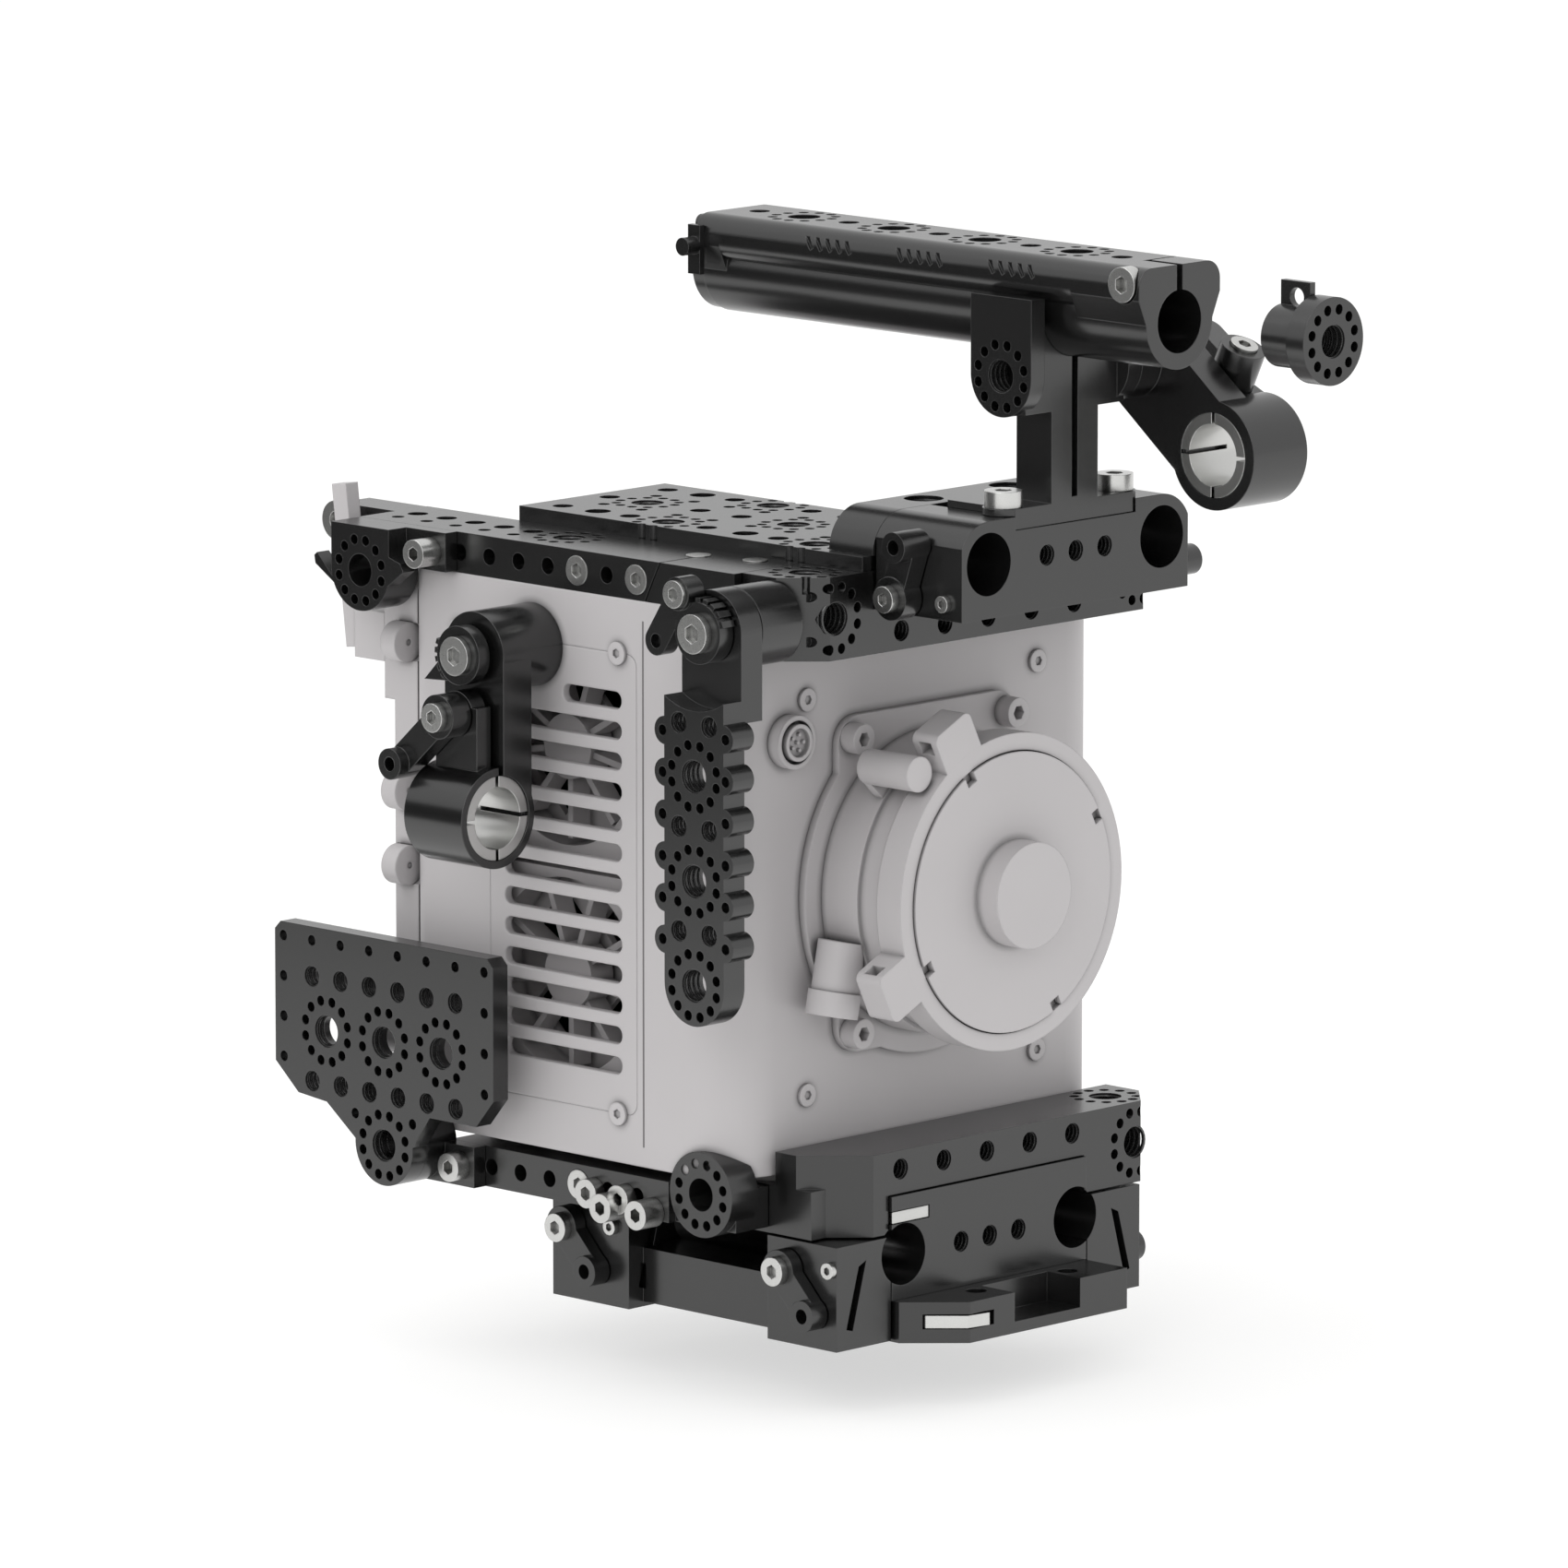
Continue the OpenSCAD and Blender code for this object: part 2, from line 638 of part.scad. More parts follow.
// Rail along the camera's left bottom edge, with a rosette lobe at its front.
lobe_y = 9;
lobe_x = rail_x - 0.6;
low_rail_rear = body_len - 14;
module side_rail_lower() {
    low = low_rail_z - rail_t / 2;
    color(alu_black) seat() difference() {
        union() {
            block([rail_x, shelf_front + 0.2, low], [rail_x + 14, low_rail_rear, low + rail_t]);
            to_left(lobe_x + 9, lobe_y, lower_bar_z) cylinder(h = 9, r = 10.4);
            block([lobe_x + 3, 0.2, low], [-ring_x - 0.2, 24, low + rail_t]);
        }
        translate([0, 0, -body_drop - 0.3]) linear_extrude(40) body_outline(-0.3);
        to_left(lobe_x, lobe_y, lower_bar_z) rosette_cut(12);
        for (y = rail_hole_y) to_left(rail_x, y, low_rail_z) drill(quarter_d - 1, 9);
        to_left(rail_x, rail_hole_y[2], low_rail_z) drill(7.4, 2);
        to_left(rail_x, low_lug_screw_y, low_rail_z) drill(lug_shank_d + 0.2, 6);
    }
}

// Rosette lug behind the lower rail that carries the side plate.
side_plate_x = -76;
side_plate_t = 5;
low_lug_y = 103;
low_lug_z = -69;
low_lug_screw_y = 88;
module rear_lug_lower() {
    inner = rail_x - 0.1;
    color(alu_black) seat() difference() {
        union() {
            to_left(inner, low_lug_y, low_lug_z) cylinder(h = inner - side_plate_x, r = lug_r);
            block([tongue_x, low_lug_screw_y - 5, low_rail_z - rail_t / 2],
                  [inner, low_lug_y, low_rail_z + rail_t / 2]);
        }
        to_left(side_plate_x, low_lug_y, low_lug_z) rosette_cut(12);
        to_left(tongue_x, low_lug_screw_y, low_rail_z) drill(lug_shank_d + 0.2, 6);
    }
}

// Drilled plate that stands up on the lower lug.
plate_top = -18.2;
plate_w = 76;
plate_row_z = -43.5;
module side_plate() {
    half = plate_w / 2;
    low = low_lug_z;
    color(alu_black) seat() difference() {
        union() {
            to_left(side_plate_x, low_lug_y, 0) linear_extrude(side_plate_t) polygon([
                [plate_top, -half + 2], [plate_top - 2, -half], [-53, -half], [-60, -half + 6],
                [-60, -16], [low, -9.4], [low, 9.4], [-61, 20], [-60, half - 8], [-53, half],
                [plate_top - 2, half], [plate_top, half - 2]]);
            to_left(side_plate_x, low_lug_y, low) cylinder(h = side_plate_t, r = lug_r);
        }
        for (p = [[0, low_lug_z], [0, plate_row_z], [-20, plate_row_z], [20, plate_row_z]])
            to_left(side_plate_x - side_plate_t, low_lug_y + p.x, p.y) rosette_cut(side_plate_t + 1);
        for (i = [0 : 7])
            to_left(side_plate_x - side_plate_t, low_lug_y + (i - 3.5) * fine_pitch, plate_top - 3.4)
                drill(2.6, side_plate_t + 1);
        for (s = [-1, 1], i = [1 : 3])
            to_left(side_plate_x - side_plate_t, low_lug_y + s * 3.5 * fine_pitch,
                    plate_top - 3.4 - i * fine_pitch)
                drill(2.6, side_plate_t + 1);
        for (i = [0 : 5], z = [-13, 13])
            to_left(side_plate_x - side_plate_t, low_lug_y + (i - 2.5) * fine_pitch, plate_row_z + z)
                drill(quarter_d, side_plate_t + 1);
        for (s = [-1, 1])
            to_left(side_plate_x - side_plate_t, low_lug_y + s * fine_pitch, -62.4)
                drill(2.6, side_plate_t + 1);
    }
}

// Silver screws of the cage: flush ones in the rails, two pairs on spacers low down, one
// that holds each rear lug, and two cover discs on the upper rail.
cover_places = [[rail_x + 14, 24], [rail_x + 18, 9]];
module cage_screws() {
    shank = 3.9;
    color(screw_silver) seat() {
        for (y = [rail_hole_y[0], rail_hole_y[2]])
            to_left(rail_x + 1.9, y, rail_bottom + rail_t / 2) cap_screw(7.2, 2.1, shank, 5);
        to_left(rail_x + 1.9, rail_hole_y[2], low_rail_z) cap_screw(7.2, 2.1, shank, 5);
        for (y = [45.5, 34.7]) to_left(rail_x - 0.05, y, low_rail_z - 1) cap_screw(7.1, 3.2, shank, 0.04);
        for (y = [37.4, 25.4]) to_left(rail_x - 0.05, y, low_rail_z - 3) cap_screw(7.1, 6.4, shank, 0.04);
        to_left(tongue_x, lug_screw_y, rail_bottom + rail_t / 2) cap_screw(7, 6, shank, 8);
        to_left(tongue_x, low_lug_screw_y, low_rail_z) cap_screw(7, 4, shank, 8);
        for (p = cover_places) translate([p.x, p.y, cage_top - 0.35]) cylinder(h = 0.6, d = 6);
    }
}

// ---------- upper rod block ----------

block_front = -50.5;
block_rear = bar_front - 0.5;
block_half = 39.2;
block_low = 72;
block_floor = 92;
foot_half = 20.5;
rim_r = rod_bore_r + 2.7;

// Block that clamps two rods above the lens, with a recess for the post's foot.
module rod_block_upper() {
    depth = block_rear - block_front;
    color(alu_black) seat() difference() {
        union() {
            block([-block_half, block_front, block_low], [block_half, block_rear, rod_drop]);
            block([-rod_x, block_front, rod_drop - eps], [rod_x, block_rear, block_floor]);
            for (sx = [-1, 1]) {
                to_front(sx * rod_x, block_rear, rod_drop) cylinder(h = depth, r = rim_r);
                side_block(sx, foot_half + 0.3, rod_x, [block_front, block_rear], block_floor - 1, rod_drop + rim_r);
            }
        }
        for (sx = [-1, 1]) {
            to_front(sx * rod_x, -5, rod_drop) cylinder(h = 60, r = rod_bore_r);
            side_block(sx, block_half, block_half + 4, [block_front - 1, block_rear + 1], rod_drop - 12, rod_drop + 9);
            for (y = foot_screw_y) translate([sx * foot_screw_x, y, block_floor + 4]) drill(foot_shank_d + 0.2, 9);
        }
        for (i = [-1 : 1]) to_front(i * fine_pitch, block_front, rod_drop) drill(quarter_d, 14);
        to_left(-block_half, block_lever_y, block_lever_z) drill(lever_shank_d + 0.2, 7);
        to_left(-block_half, -45, block_low + 4) drill(small_shank_d + 0.2, 3);
    }
    color(alu_black) seat() to_right(block_half - eps, block_front + 4.4, block_low + 5.5) cylinder(h = 6, r = 3.7);
}

// Deck on the cage's top, which steadies the two rods behind the block.
deck_rear = -8;
module deck_plate() {
    deck_front = block_rear + 0.2;
    depth = deck_rear - deck_front;
    color(alu_black) seat() difference() {
        union() {
            block([-rod_x, deck_front, cheese_top + 0.1], [rod_x, deck_rear, rod_drop + rim_r]);
            for (sx = [-1, 1]) to_front(sx * rod_x, deck_rear, rod_drop) cylinder(h = depth, r = rim_r);
        }
        block([-60, deck_front - 1, block_low], [60, deck_rear + 1, cheese_top + 0.1]);
        for (sx = [-1, 1]) {
            to_front(sx * rod_x, deck_rear + 1, rod_drop) cylinder(h = 30, r = rod_bore_r + 0.7);
            translate([sx * 14.7, -14.6, rod_drop + rim_r]) {
                drill(three_eighth_d, 16);
                drill(9.6, 1);
            }
        }
    }
}

// Thumb lever on the rod block's left side.
block_lever_y = -32.5;
block_lever_z = 76.5;
module block_lever() {
    color(alu_black) seat() to_left(-block_half - turn_gap, block_lever_y, block_lever_z) difference() {
        union() {
            cylinder(h = 5.5, r = 5.2);
            linear_extrude(5.3) strap([0, 0], [13, -4.4], 3.4);
            translate([13, -4.4, 0]) cylinder(h = 9, r = 3.7);
        }
        drill_through(4, 6);
        translate([13, -4.4, 9]) drill(3.6, 6);
    }
}

// Silver screws of the rod block, the pivots of the fixed levers, and the bridge's tongue.
lever_shank_d = 3.9;
small_shank_d = 2.5;
foot_shank_d = 3.9;
foot_screw_y = [-45];
module block_screws() {
    color(screw_silver) seat() {
        for (sx = [-1, 1], y = foot_screw_y)
            translate([sx * foot_screw_x, y, foot_top]) cap_screw(9, 4, foot_shank_d, 9);
        to_left(-block_half - turn_gap - 5.5 - eps, block_lever_y, block_lever_z) cap_screw(6.4, 2.4, lever_shank_d, 11);
        to_left(-block_half, -45, block_low + 4) cap_screw(4, 1.4, small_shank_d, 2);
        for (p = base_levers) {
            to_left(-clamp_out - lever_t - turn_gap, p, clamp_z) cap_screw(7, 2.2, lever_shank_d, 8);
            to_left(-clamp_out, p - 14, clamp_z + 1.5) cap_screw(4, 1.4, small_shank_d, 2);
        }
        to_right(clamp_out + lever_t + turn_gap, base_levers[0], clamp_z) cap_screw(7, 2.2, lever_shank_d, 8);
        block([-bridge_half + 0.3, bar_front - 0.8, -77.2], [-21.2, bar_front + 8, -74.4]);
    }
}

// ---------- handle ----------

foot_top = 97;
foot_screw_x = 19.3;
post_half = 8;
post_rear = -38.6;
ear_y = -44;
ear_z = 128;
ear_r = 9.8;
ear_out = 19.2;
ear_t = 4.6;

// Split post that grips the handle's round tube between two drilled ears.
module handle_post() {
    front = block_front + 0.5;
    color(alu_black) seat() difference() {
        union() {
            block([-foot_half, front, block_floor], [foot_half, -28, foot_top]);
            for (sx = [-1, 1], y = foot_screw_y)
                translate([sx * foot_screw_x, y, rod_drop + rim_r + 0.1]) cylinder(h = foot_top - rod_drop - rim_r - 0.1, r = 5);
            block([-post_half, front, foot_top - eps], [post_half, post_rear, 133]);
            block([-17, front, 119], [17, post_rear, 139.6]);
            for (sx = [-1, 1]) {
                to_right(sx * (ear_out - ear_t / 2) - ear_t / 2, ear_y, ear_z) cylinder(h = ear_t, r = ear_r);
                side_block(sx, ear_out - ear_t, ear_out, [ear_y - ear_r, ear_y + ear_r], ear_z, 147);
            }
        }
        to_front(0, post_rear + 1, handle_z) cylinder(h = 30, r = handle_tube_r + shaft_clear);
        block([-1, front - 1, foot_top + 1], [1, post_rear + 1, handle_z - 4]);
        for (sx = [-1, 1]) {
            translate([sx * ear_out, ear_y, ear_z]) rotate([0, sx * 90, 0]) rosette_cut(9);
            for (y = foot_screw_y) translate([sx * foot_screw_x, y, foot_top]) drill(foot_shank_d + 0.2, 6);
        }
    }
}

// Outline of the handle across its length: a round tube with a wide block above it.
module grip_outline(collar) {
    circle(handle_tube_r);
    translate([0, 8]) rounded(handle_w, 2 * (handle_top - 8), 4.5);
    if (collar) polygon([
        [-handle_tube_r, 0], [-handle_w / 2, 6], [-handle_w / 2, 8],
        [handle_w / 2, 8], [handle_w / 2, 6], [handle_tube_r, 0]]);
    else translate([-8, 0]) square([16, 8]);
}

// Slanted grip grooves in one side of the handle.
groove_starts = [38, 8, -22];
module grip_grooves(sx) {
    for (start = groove_starts, i = [0 : 4])
        translate([sx * handle_w / 2, start - 13 - i * 3.2, handle_z + 11]) rotate([-32, 0, 0])
            translate([-0.7, -0.6, -3]) cube([1.4, 1.2, 6.4]);
}

collar_len = 22;
rear_collar_len = 8;
handle_rear_y = handle_len - handle_front;
rosette_y = [39.5, 9.5, -20.5, -50.5];
plug_screw_z = 9.5;
plug_screw_y = -handle_front + 5.2;

// Handle with a bore for a rod along its whole length.
module handle_grip() {
    color(alu_black) seat() difference() {
        union() {
            to_front(0, handle_rear_y, handle_z) linear_extrude(handle_len) grip_outline(false);
            to_front(0, -handle_front + collar_len, handle_z) linear_extrude(collar_len) grip_outline(true);
            to_front(0, handle_rear_y, handle_z) linear_extrude(rear_collar_len) grip_outline(true);
        }
        to_front(0, handle_rear_y + 1, handle_z) cylinder(h = handle_len + 2, r = rod_bore_r);
        for (y = rosette_y) translate([0, y, handle_z + handle_top]) rosette_cut(8);
        for (y = [54.5, 24.5, -5.5, -35.5, -65]) translate([0, y, handle_z + handle_top]) drill(quarter_d, 8);
        block([-1, -handle_front - 1, handle_z], [1, -handle_front + 10.8, handle_z + handle_top + 1]);
        block([-1, -handle_front + 10, handle_z + 4], [handle_w, -handle_front + 10.8, handle_z + handle_top + 1]);
        to_left(-handle_w / 2, plug_screw_y, handle_z + plug_screw_z) drill(9, 3);
        to_left(-handle_w / 2, plug_screw_y, handle_z + plug_screw_z) drill(4.1, 24);
        for (sx = [-1, 1]) grip_grooves(sx);
    }
}

// Cap that closes the handle's rear end.
module handle_end_cap() {
    color(alu_black) seat() {
        to_front(0, handle_rear_y + 4, handle_z) cylinder(h = 4, r = handle_tube_r - 0.4);
        to_front(0, handle_rear_y + 3, handle_z) linear_extrude(3) translate([0, 8.5]) rounded(22, 8.4, 2);
        to_front(0, handle_rear_y + eps, handle_z) cylinder(h = 8, d = rod_d);
    }
}

// Silver clamp screw of the handle's front collar.
module handle_screws() {
    color(screw_silver) seat()
        to_left(-handle_w / 2 + 3, plug_screw_y, handle_z + plug_screw_z) cap_screw(8.4, 3.6, 3.9, 9);
}

// Spring latch on the handle's left rear, with its small knob.
module handle_latch() {
    color(screw_silver) seat() {
        block([-handle_w / 2 - 1.6, handle_rear_y - 3, handle_z - 1], [-handle_w / 2, handle_rear_y + 1, handle_z + 11]);
        to_left(-handle_w / 2 - 1.6 + eps, handle_rear_y - 1, handle_z + 6) cylinder(h = 4, d = 4.4);
    }
}

// Rosette plug for the handle's front bore, drawn pulled out.
plug_disc_t = 5.5;
plug_back = -handle_front - plug_out;
module end_plug() {
    shank_len = 10.5;
    color(alu_black) seat() difference() {
        union() {
            to_front(0, plug_back, handle_z) cylinder(h = plug_disc_t, r = 10.4);
            to_front(0, plug_back + shank_len, handle_z) cylinder(h = shank_len + eps, r = rod_d / 2 - rod_clear);
            block([-0.85, plug_back + 1, handle_z + 2], [0.85, plug_back + shank_len - 0.3, handle_z + handle_top - 0.3]);
        }
        to_front(0, plug_back - plug_disc_t, handle_z) rosette_cut(30);
        to_left(-1, plug_back + 5.2, handle_z + plug_screw_z) translate([0, 0, -3]) cylinder(h = 6, d = 4.4);
    }
}

// ---------- right clamp arm ----------

arm_right_x = 26.4;
arm_right_t = 9.4;
clamp_ring_r = 13.2;
right_ring_y = -70.2;
right_ring_z = 107;
right_boss_r = 11.4;
bush_flange_d = 20.4;
bush_d = 19;

// Arm on the post's right ear, with a clamp ring whose bore runs sideways.
module arm_right() {
    ring_len = 18.8;
    color(alu_black) seat() difference() {
        union() {
            to_right(ear_out + turn_gap, ear_y, ear_z)
                cylinder(h = arm_right_x - ear_out - turn_gap + eps, r = 9.6);
            to_right(arm_right_x, 0, 0) linear_extrude(arm_right_t)
                strap([-ear_z, ear_y], [-right_ring_z, right_ring_y], right_boss_r);
            to_right(arm_right_x, right_ring_y, right_ring_z) cylinder(h = ring_len, r = clamp_ring_r);
            right_lug_place() translate([-6, -6, -6]) cube([12, 14, 9]);
        }
        to_right(arm_right_x - 1, right_ring_y, right_ring_z) cylinder(h = ring_len + 2, d = bush_d + 0.1);
        to_right(arm_right_x - 1, right_ring_y, right_ring_z) cylinder(h = 2, d = bush_flange_d + 0.2);
        right_lug_place() translate([0, 0, -7]) cylinder(h = 12, d = 4);
    }
}

// Puts a shape on the right ring's clamp lug, +Z along the clamp screw.
module right_lug_place() {
    translate([arm_right_x + 15.6, right_ring_y + 10, right_ring_z + 12.4]) rotate([25, 0, 0]) children();
}

module arm_right_bush() {
    color(screw_silver) seat() to_left(arm_right_x + 18.8, right_ring_y, right_ring_z)
        split_bush(rod_d + 2 * rod_clear, bush_d, bush_flange_d, 18.8);
}

module arm_right_lever() {
    color(alu_black) seat() right_lug_place() translate([0, 0, 3 + turn_gap]) difference() {
        union() {
            cylinder(h = 9.5, r = 5.6);
            linear_extrude(6) strap([0, 0], [4, 15], 3.6);
        }
        drill_through(4, 10);
        translate([0, 0, 9.5]) drill(7, 1);
    }
}

// Silver screw of the right arm's lever.
module arm_right_screws() {
    color(screw_silver) seat() right_lug_place() translate([0, 0, 11.8 + turn_gap]) cap_screw(6.8, 1.6, 3.9, 16);
}

// ---------- left clamp arm ----------

arm_left_y = 65.9;
arm_left_z = 57;
arm_left_out = 86;
arm_left_t = 9.4;
left_ring_x = -87.8;
left_ring_z = 18.3;
left_lever_z = 43;
left_lever_x = -92;
boss_bolt_d = 8;

// Arm bolted to the camera's left side, with a clamp ring whose bore runs along the lens.
module arm_left() {
    ring_w = 19.6;
    in_x = rail_x - turn_gap;
    color(alu_black) seat() difference() {
        union() {
            to_left(in_x, arm_left_y, arm_left_z) cylinder(h = arm_left_out + in_x, r = 10.1);
            block([-arm_left_out, arm_left_y - 10, left_ring_z], [-arm_left_out + arm_left_t, arm_left_y + 10, arm_left_z]);
            to_front(left_ring_x, arm_left_y + ring_w / 2, left_ring_z) cylinder(h = ring_w, r = 12.2);
            block([left_lever_x, arm_left_y - 7, left_ring_z], [-arm_left_out - 1.4, arm_left_y + 7, left_lever_z + 2]);
            to_left(-arm_left_out - 1.4, arm_left_y, left_lever_z) cylinder(h = -left_lever_x - arm_left_out - 1.4, r = 5.6);
        }
        to_front(left_ring_x, arm_left_y + ring_w / 2 + 1, left_ring_z) cylinder(h = ring_w + 2, d = bush_d + 0.1);
        to_front(left_ring_x, arm_left_y - ring_w / 2 + 1.5, left_ring_z) cylinder(h = 3, d = bush_flange_d + 0.2);
        to_left(in_x + 1, arm_left_y, arm_left_z) cylinder(h = 30, d = boss_bolt_d + 0.1);
        to_left(-arm_left_out + 4, arm_left_y, left_lever_z) cylinder(h = 20, d = 4);
        block([-arm_left_out - 1.4, arm_left_y - 12, left_ring_z + 5], [-arm_left_out + eps, arm_left_y + 12, left_lever_z + 12]);
    }
}

module arm_left_bush() {
    color(screw_silver) seat() to_front(left_ring_x, arm_left_y + 9.6, left_ring_z)
        split_bush(rod_d + 2 * rod_clear, bush_d, bush_flange_d, 19.2);
}

module arm_left_lever() {
    lever_tip = [-12.9, 14.5];
    color(alu_black) seat() to_left(left_lever_x - turn_gap, arm_left_y, left_lever_z) difference() {
        union() {
            cylinder(h = 6, r = 5.4);
            linear_extrude(5) strap([0, 0], lever_tip, 3.6);
            translate(lever_tip) cylinder(h = 8, r = 3.8);
        }
        drill_through(4, 7);
        translate([lever_tip.x, lever_tip.y, 8]) drill(3.4, 6);
    }
}

// Winged, ridged thumb knob of the left arm's bolt.
module arm_left_knob() {
    color(alu_black) seat() to_left(-arm_left_out - turn_gap, arm_left_y, arm_left_z) difference() {
        union() {
            cylinder(h = 2, r = 5.6);
            translate([0, 0, 1.4]) cylinder(h = 3.6, r = 7.2);
            for (i = [0 : 4]) rotate(70 + i * 16) translate([6.4, -0.7, 1.6]) cube([1.8, 1.4, 3.2]);
            translate([0, 0, 1.6]) linear_extrude(3) polygon([[-6.5, 3], [-7, 12], [-2, 7]]);
        }
        drill_through(4, 6);
    }
}

// Silver screws that ride with the left arm, and the bolt through its boss.
module arm_left_screws() {
    color(screw_silver) seat() {
        to_left(left_lever_x - turn_gap - 6 - eps, arm_left_y, left_lever_z) cap_screw(7, 2, 3.9, 10);
        to_left(-arm_left_out - turn_gap - 5.02, arm_left_y, arm_left_z) cap_screw(9.4, 1.5, 3.9, 6);
        to_left(rail_x + body_wall + 1, arm_left_y, arm_left_z) cylinder(h = 19.6, d = boss_bolt_d);
    }
}

// ---------- front left hanger ----------

hanger_y = bar_mid_y;
hanger_z = upper_bar_z - 0.4;
hanger_in = -77;
hanger_step = -84;
hanger_out = -90;

// Round spacer between the upper front bar and the hanging plate.
module hanger_barrel() {
    color(alu_black) seat() {
        to_left(-bar_half, hanger_y, hanger_z) cylinder(h = -bar_half - hanger_in - turn_gap, r = 9.8);
        to_left(-bar_half + 5, hanger_y, hanger_z) cylinder(h = 26, d = three_eighth_d - 2 * shaft_clear);
    }
}

// Scalloped plate that hangs from the spacer, with three rosettes 25 mm apart.
hanger_rosettes = [37, 12, -13];
hanger_lobes = [for (i = [0 : 5]) 47 - i * fine_pitch];
module hanger_plate() {
    ledge = 58;
    color(alu_black) seat() difference() {
        union() {
            to_left(hanger_in, hanger_y, hanger_z) cylinder(h = hanger_in - hanger_step, r = 9.8);
            block([hanger_step, hanger_y - 9.8, ledge - 8], [hanger_in, hanger_y + 9.8, hanger_z]);
            to_left(hanger_step + 1, hanger_y, 0) linear_extrude(hanger_step + 1 - hanger_out) difference() {
                union() {
                    translate([hanger_rosettes[2], -9.8]) square([ledge - hanger_rosettes[2], 19.6]);
                    translate([hanger_rosettes[2], 0]) circle(9.8);
                    for (z = hanger_lobes, s = [-1, 1]) translate([z, s * 9.6]) circle(3.4);
                }
                translate([hanger_z, 0]) circle(18.4);
            }
        }
        for (z = hanger_rosettes) to_left(hanger_out, hanger_y, z) rosette_cut(8);
        for (z = [hanger_rosettes[0] + 12.4, hanger_rosettes[0] - 12.4, hanger_rosettes[1] - 12.4], s = [-1, 1])
            to_left(hanger_out, hanger_y + s * 5, z) drill(quarter_d, 14);
        for (z = hanger_lobes, s = [-1, 1]) to_left(hanger_out, hanger_y + s * 10.4, z) drill(2.6, 7);
        to_left(hanger_in + 1, hanger_y, hanger_z) cylinder(h = 20, d = three_eighth_d);
    }
}

// Ridged hub with a thumb lever that locks the hanging plate.
module hanger_lever() {
    color(alu_black) seat() to_left(hanger_step - turn_gap, hanger_y, hanger_z) difference() {
        union() {
            cylinder(h = 4.4, r = 7.4);
            for (i = [0 : 4]) rotate(-70 + i * 18) translate([6.6, -0.8, 0.2]) cube([1.8, 1.6, 3.9]);
            translate([0, 0, 0.1]) linear_extrude(4.1) strap([8.8, 6], [-3.4, 14], 3.5);
            translate([8.8, 6, 0]) cylinder(h = 5.4, r = 4);
        }
        drill_through(three_eighth_d + 0.2, 6);
        translate([-3.4, 14, 4.4]) drill(3.4, 3);
        translate([8.8, 6, 5.4]) drill(4.1, 1.2);
    }
}

// Silver screws of the hanger's lever.
module hanger_screws() {
    color(screw_silver) seat() {
        to_left(hanger_step - turn_gap - 5.4, hanger_y + 6, hanger_z + 8.8) cap_screw(6.6, 1.2, 3.9, 0.02);
        to_left(hanger_step - turn_gap - 4.4, hanger_y, hanger_z) cap_screw(9.4, 2, 3.9, 0.02);
    }
}

// ---------- base ----------

clamp_out = 53;
clamp_in = bridge_half + 0.4;
clamp_z = -87.4;
lever_t = 3.4;
base_levers = [-7, 66.5];
plate_half = 33.6;
plate_t = 10;
clamp_spans = [[-23, 0], [47, 73]];
base_front = base_mid_y - 59;
base_rear = base_mid_y + 59;

// Bridge between the two lower rods, and the shelf that carries the camera's feet.
module rod_bridge() {
    color(alu_black) seat() difference() {
        union() {
            block([-bridge_half, bar_front - 1, base_bottom + plate_t], [bridge_half, 73, bridge_top]);
            block([-51.4, shelf_front, shelf_low], [51.4, body_len - 8, shelf_top]);
        }
        for (sx = [-1, 1]) to_front(sx * rod_x, body_len, -rod_drop) cylinder(h = 150, r = rod_bore_r);
        for (i = [-1 : 1]) to_front(i * fine_pitch, bar_front - 1, -rod_drop) drill(quarter_d, 14);
        block([-bridge_half - 1, bar_front - 2, -77.4], [-21, bar_front + 8.2, -74.2]);
    }
}

// Sliding base plate with two long slots, a pocket and a latch slot in its front edge.
latch_z = base_bottom + 3.4;
module base_plate() {
    corner = 12;
    color(alu_black) seat() difference() {
        translate([0, 0, base_bottom]) linear_extrude(plate_t) polygon([
            [-plate_half, base_rear], [-plate_half, base_front + corner], [-plate_half + corner, base_front],
            [plate_half, base_front], [plate_half, base_rear]]);
        block([-6, base_front - 1, base_bottom + 2.8], [17, base_front + 11, base_bottom + plate_t + 1]);
        for (x = [-11, 21], y = [base_front + 8, base_rear - 4])
            translate([x, y, base_bottom + plate_t]) drill(quarter_d, 12);
        for (y = [base_front + 30, base_rear - 30]) translate([0, y, base_bottom + plate_t]) drill(three_eighth_d, 12);
        block([-plate_half + 4, base_front - 1, latch_z], [-plate_half + 20.4, base_front + 15, latch_z + 3.6]);
    }
}

// Outer rod clamps, joined front to rear by a beam on each side.
module base_clamps() {
    jaw_top = low_bar_bottom - 0.4;
    color(alu_black) seat() for (sx = [-1, 1]) difference() {
        union() {
            for (span = clamp_spans)
                side_block(sx, clamp_in, clamp_out, span, base_bottom + 0.4, jaw_top);
            side_block(sx, clamp_in, clamp_out - 5, [-1, 48], base_bottom + 1.6, -91);
        }
        to_front(sx * rod_x, 90, -rod_drop) cylinder(h = 130, r = rod_bore_r);
        for (span = clamp_spans)
            translate([0, span[1] + 1, 0]) mirror([sx > 0 ? 0 : 1, 0, 0]) rotate([90, 0, 0])
                linear_extrude(span[1] - span[0] + 2)
                    polygon([[42.8, -84.6], [45.4, -85.8], [49.6, -100.6], [47.4, -101.2]]);
        for (p = base_levers) lever_holes(sx, p);
    }
}

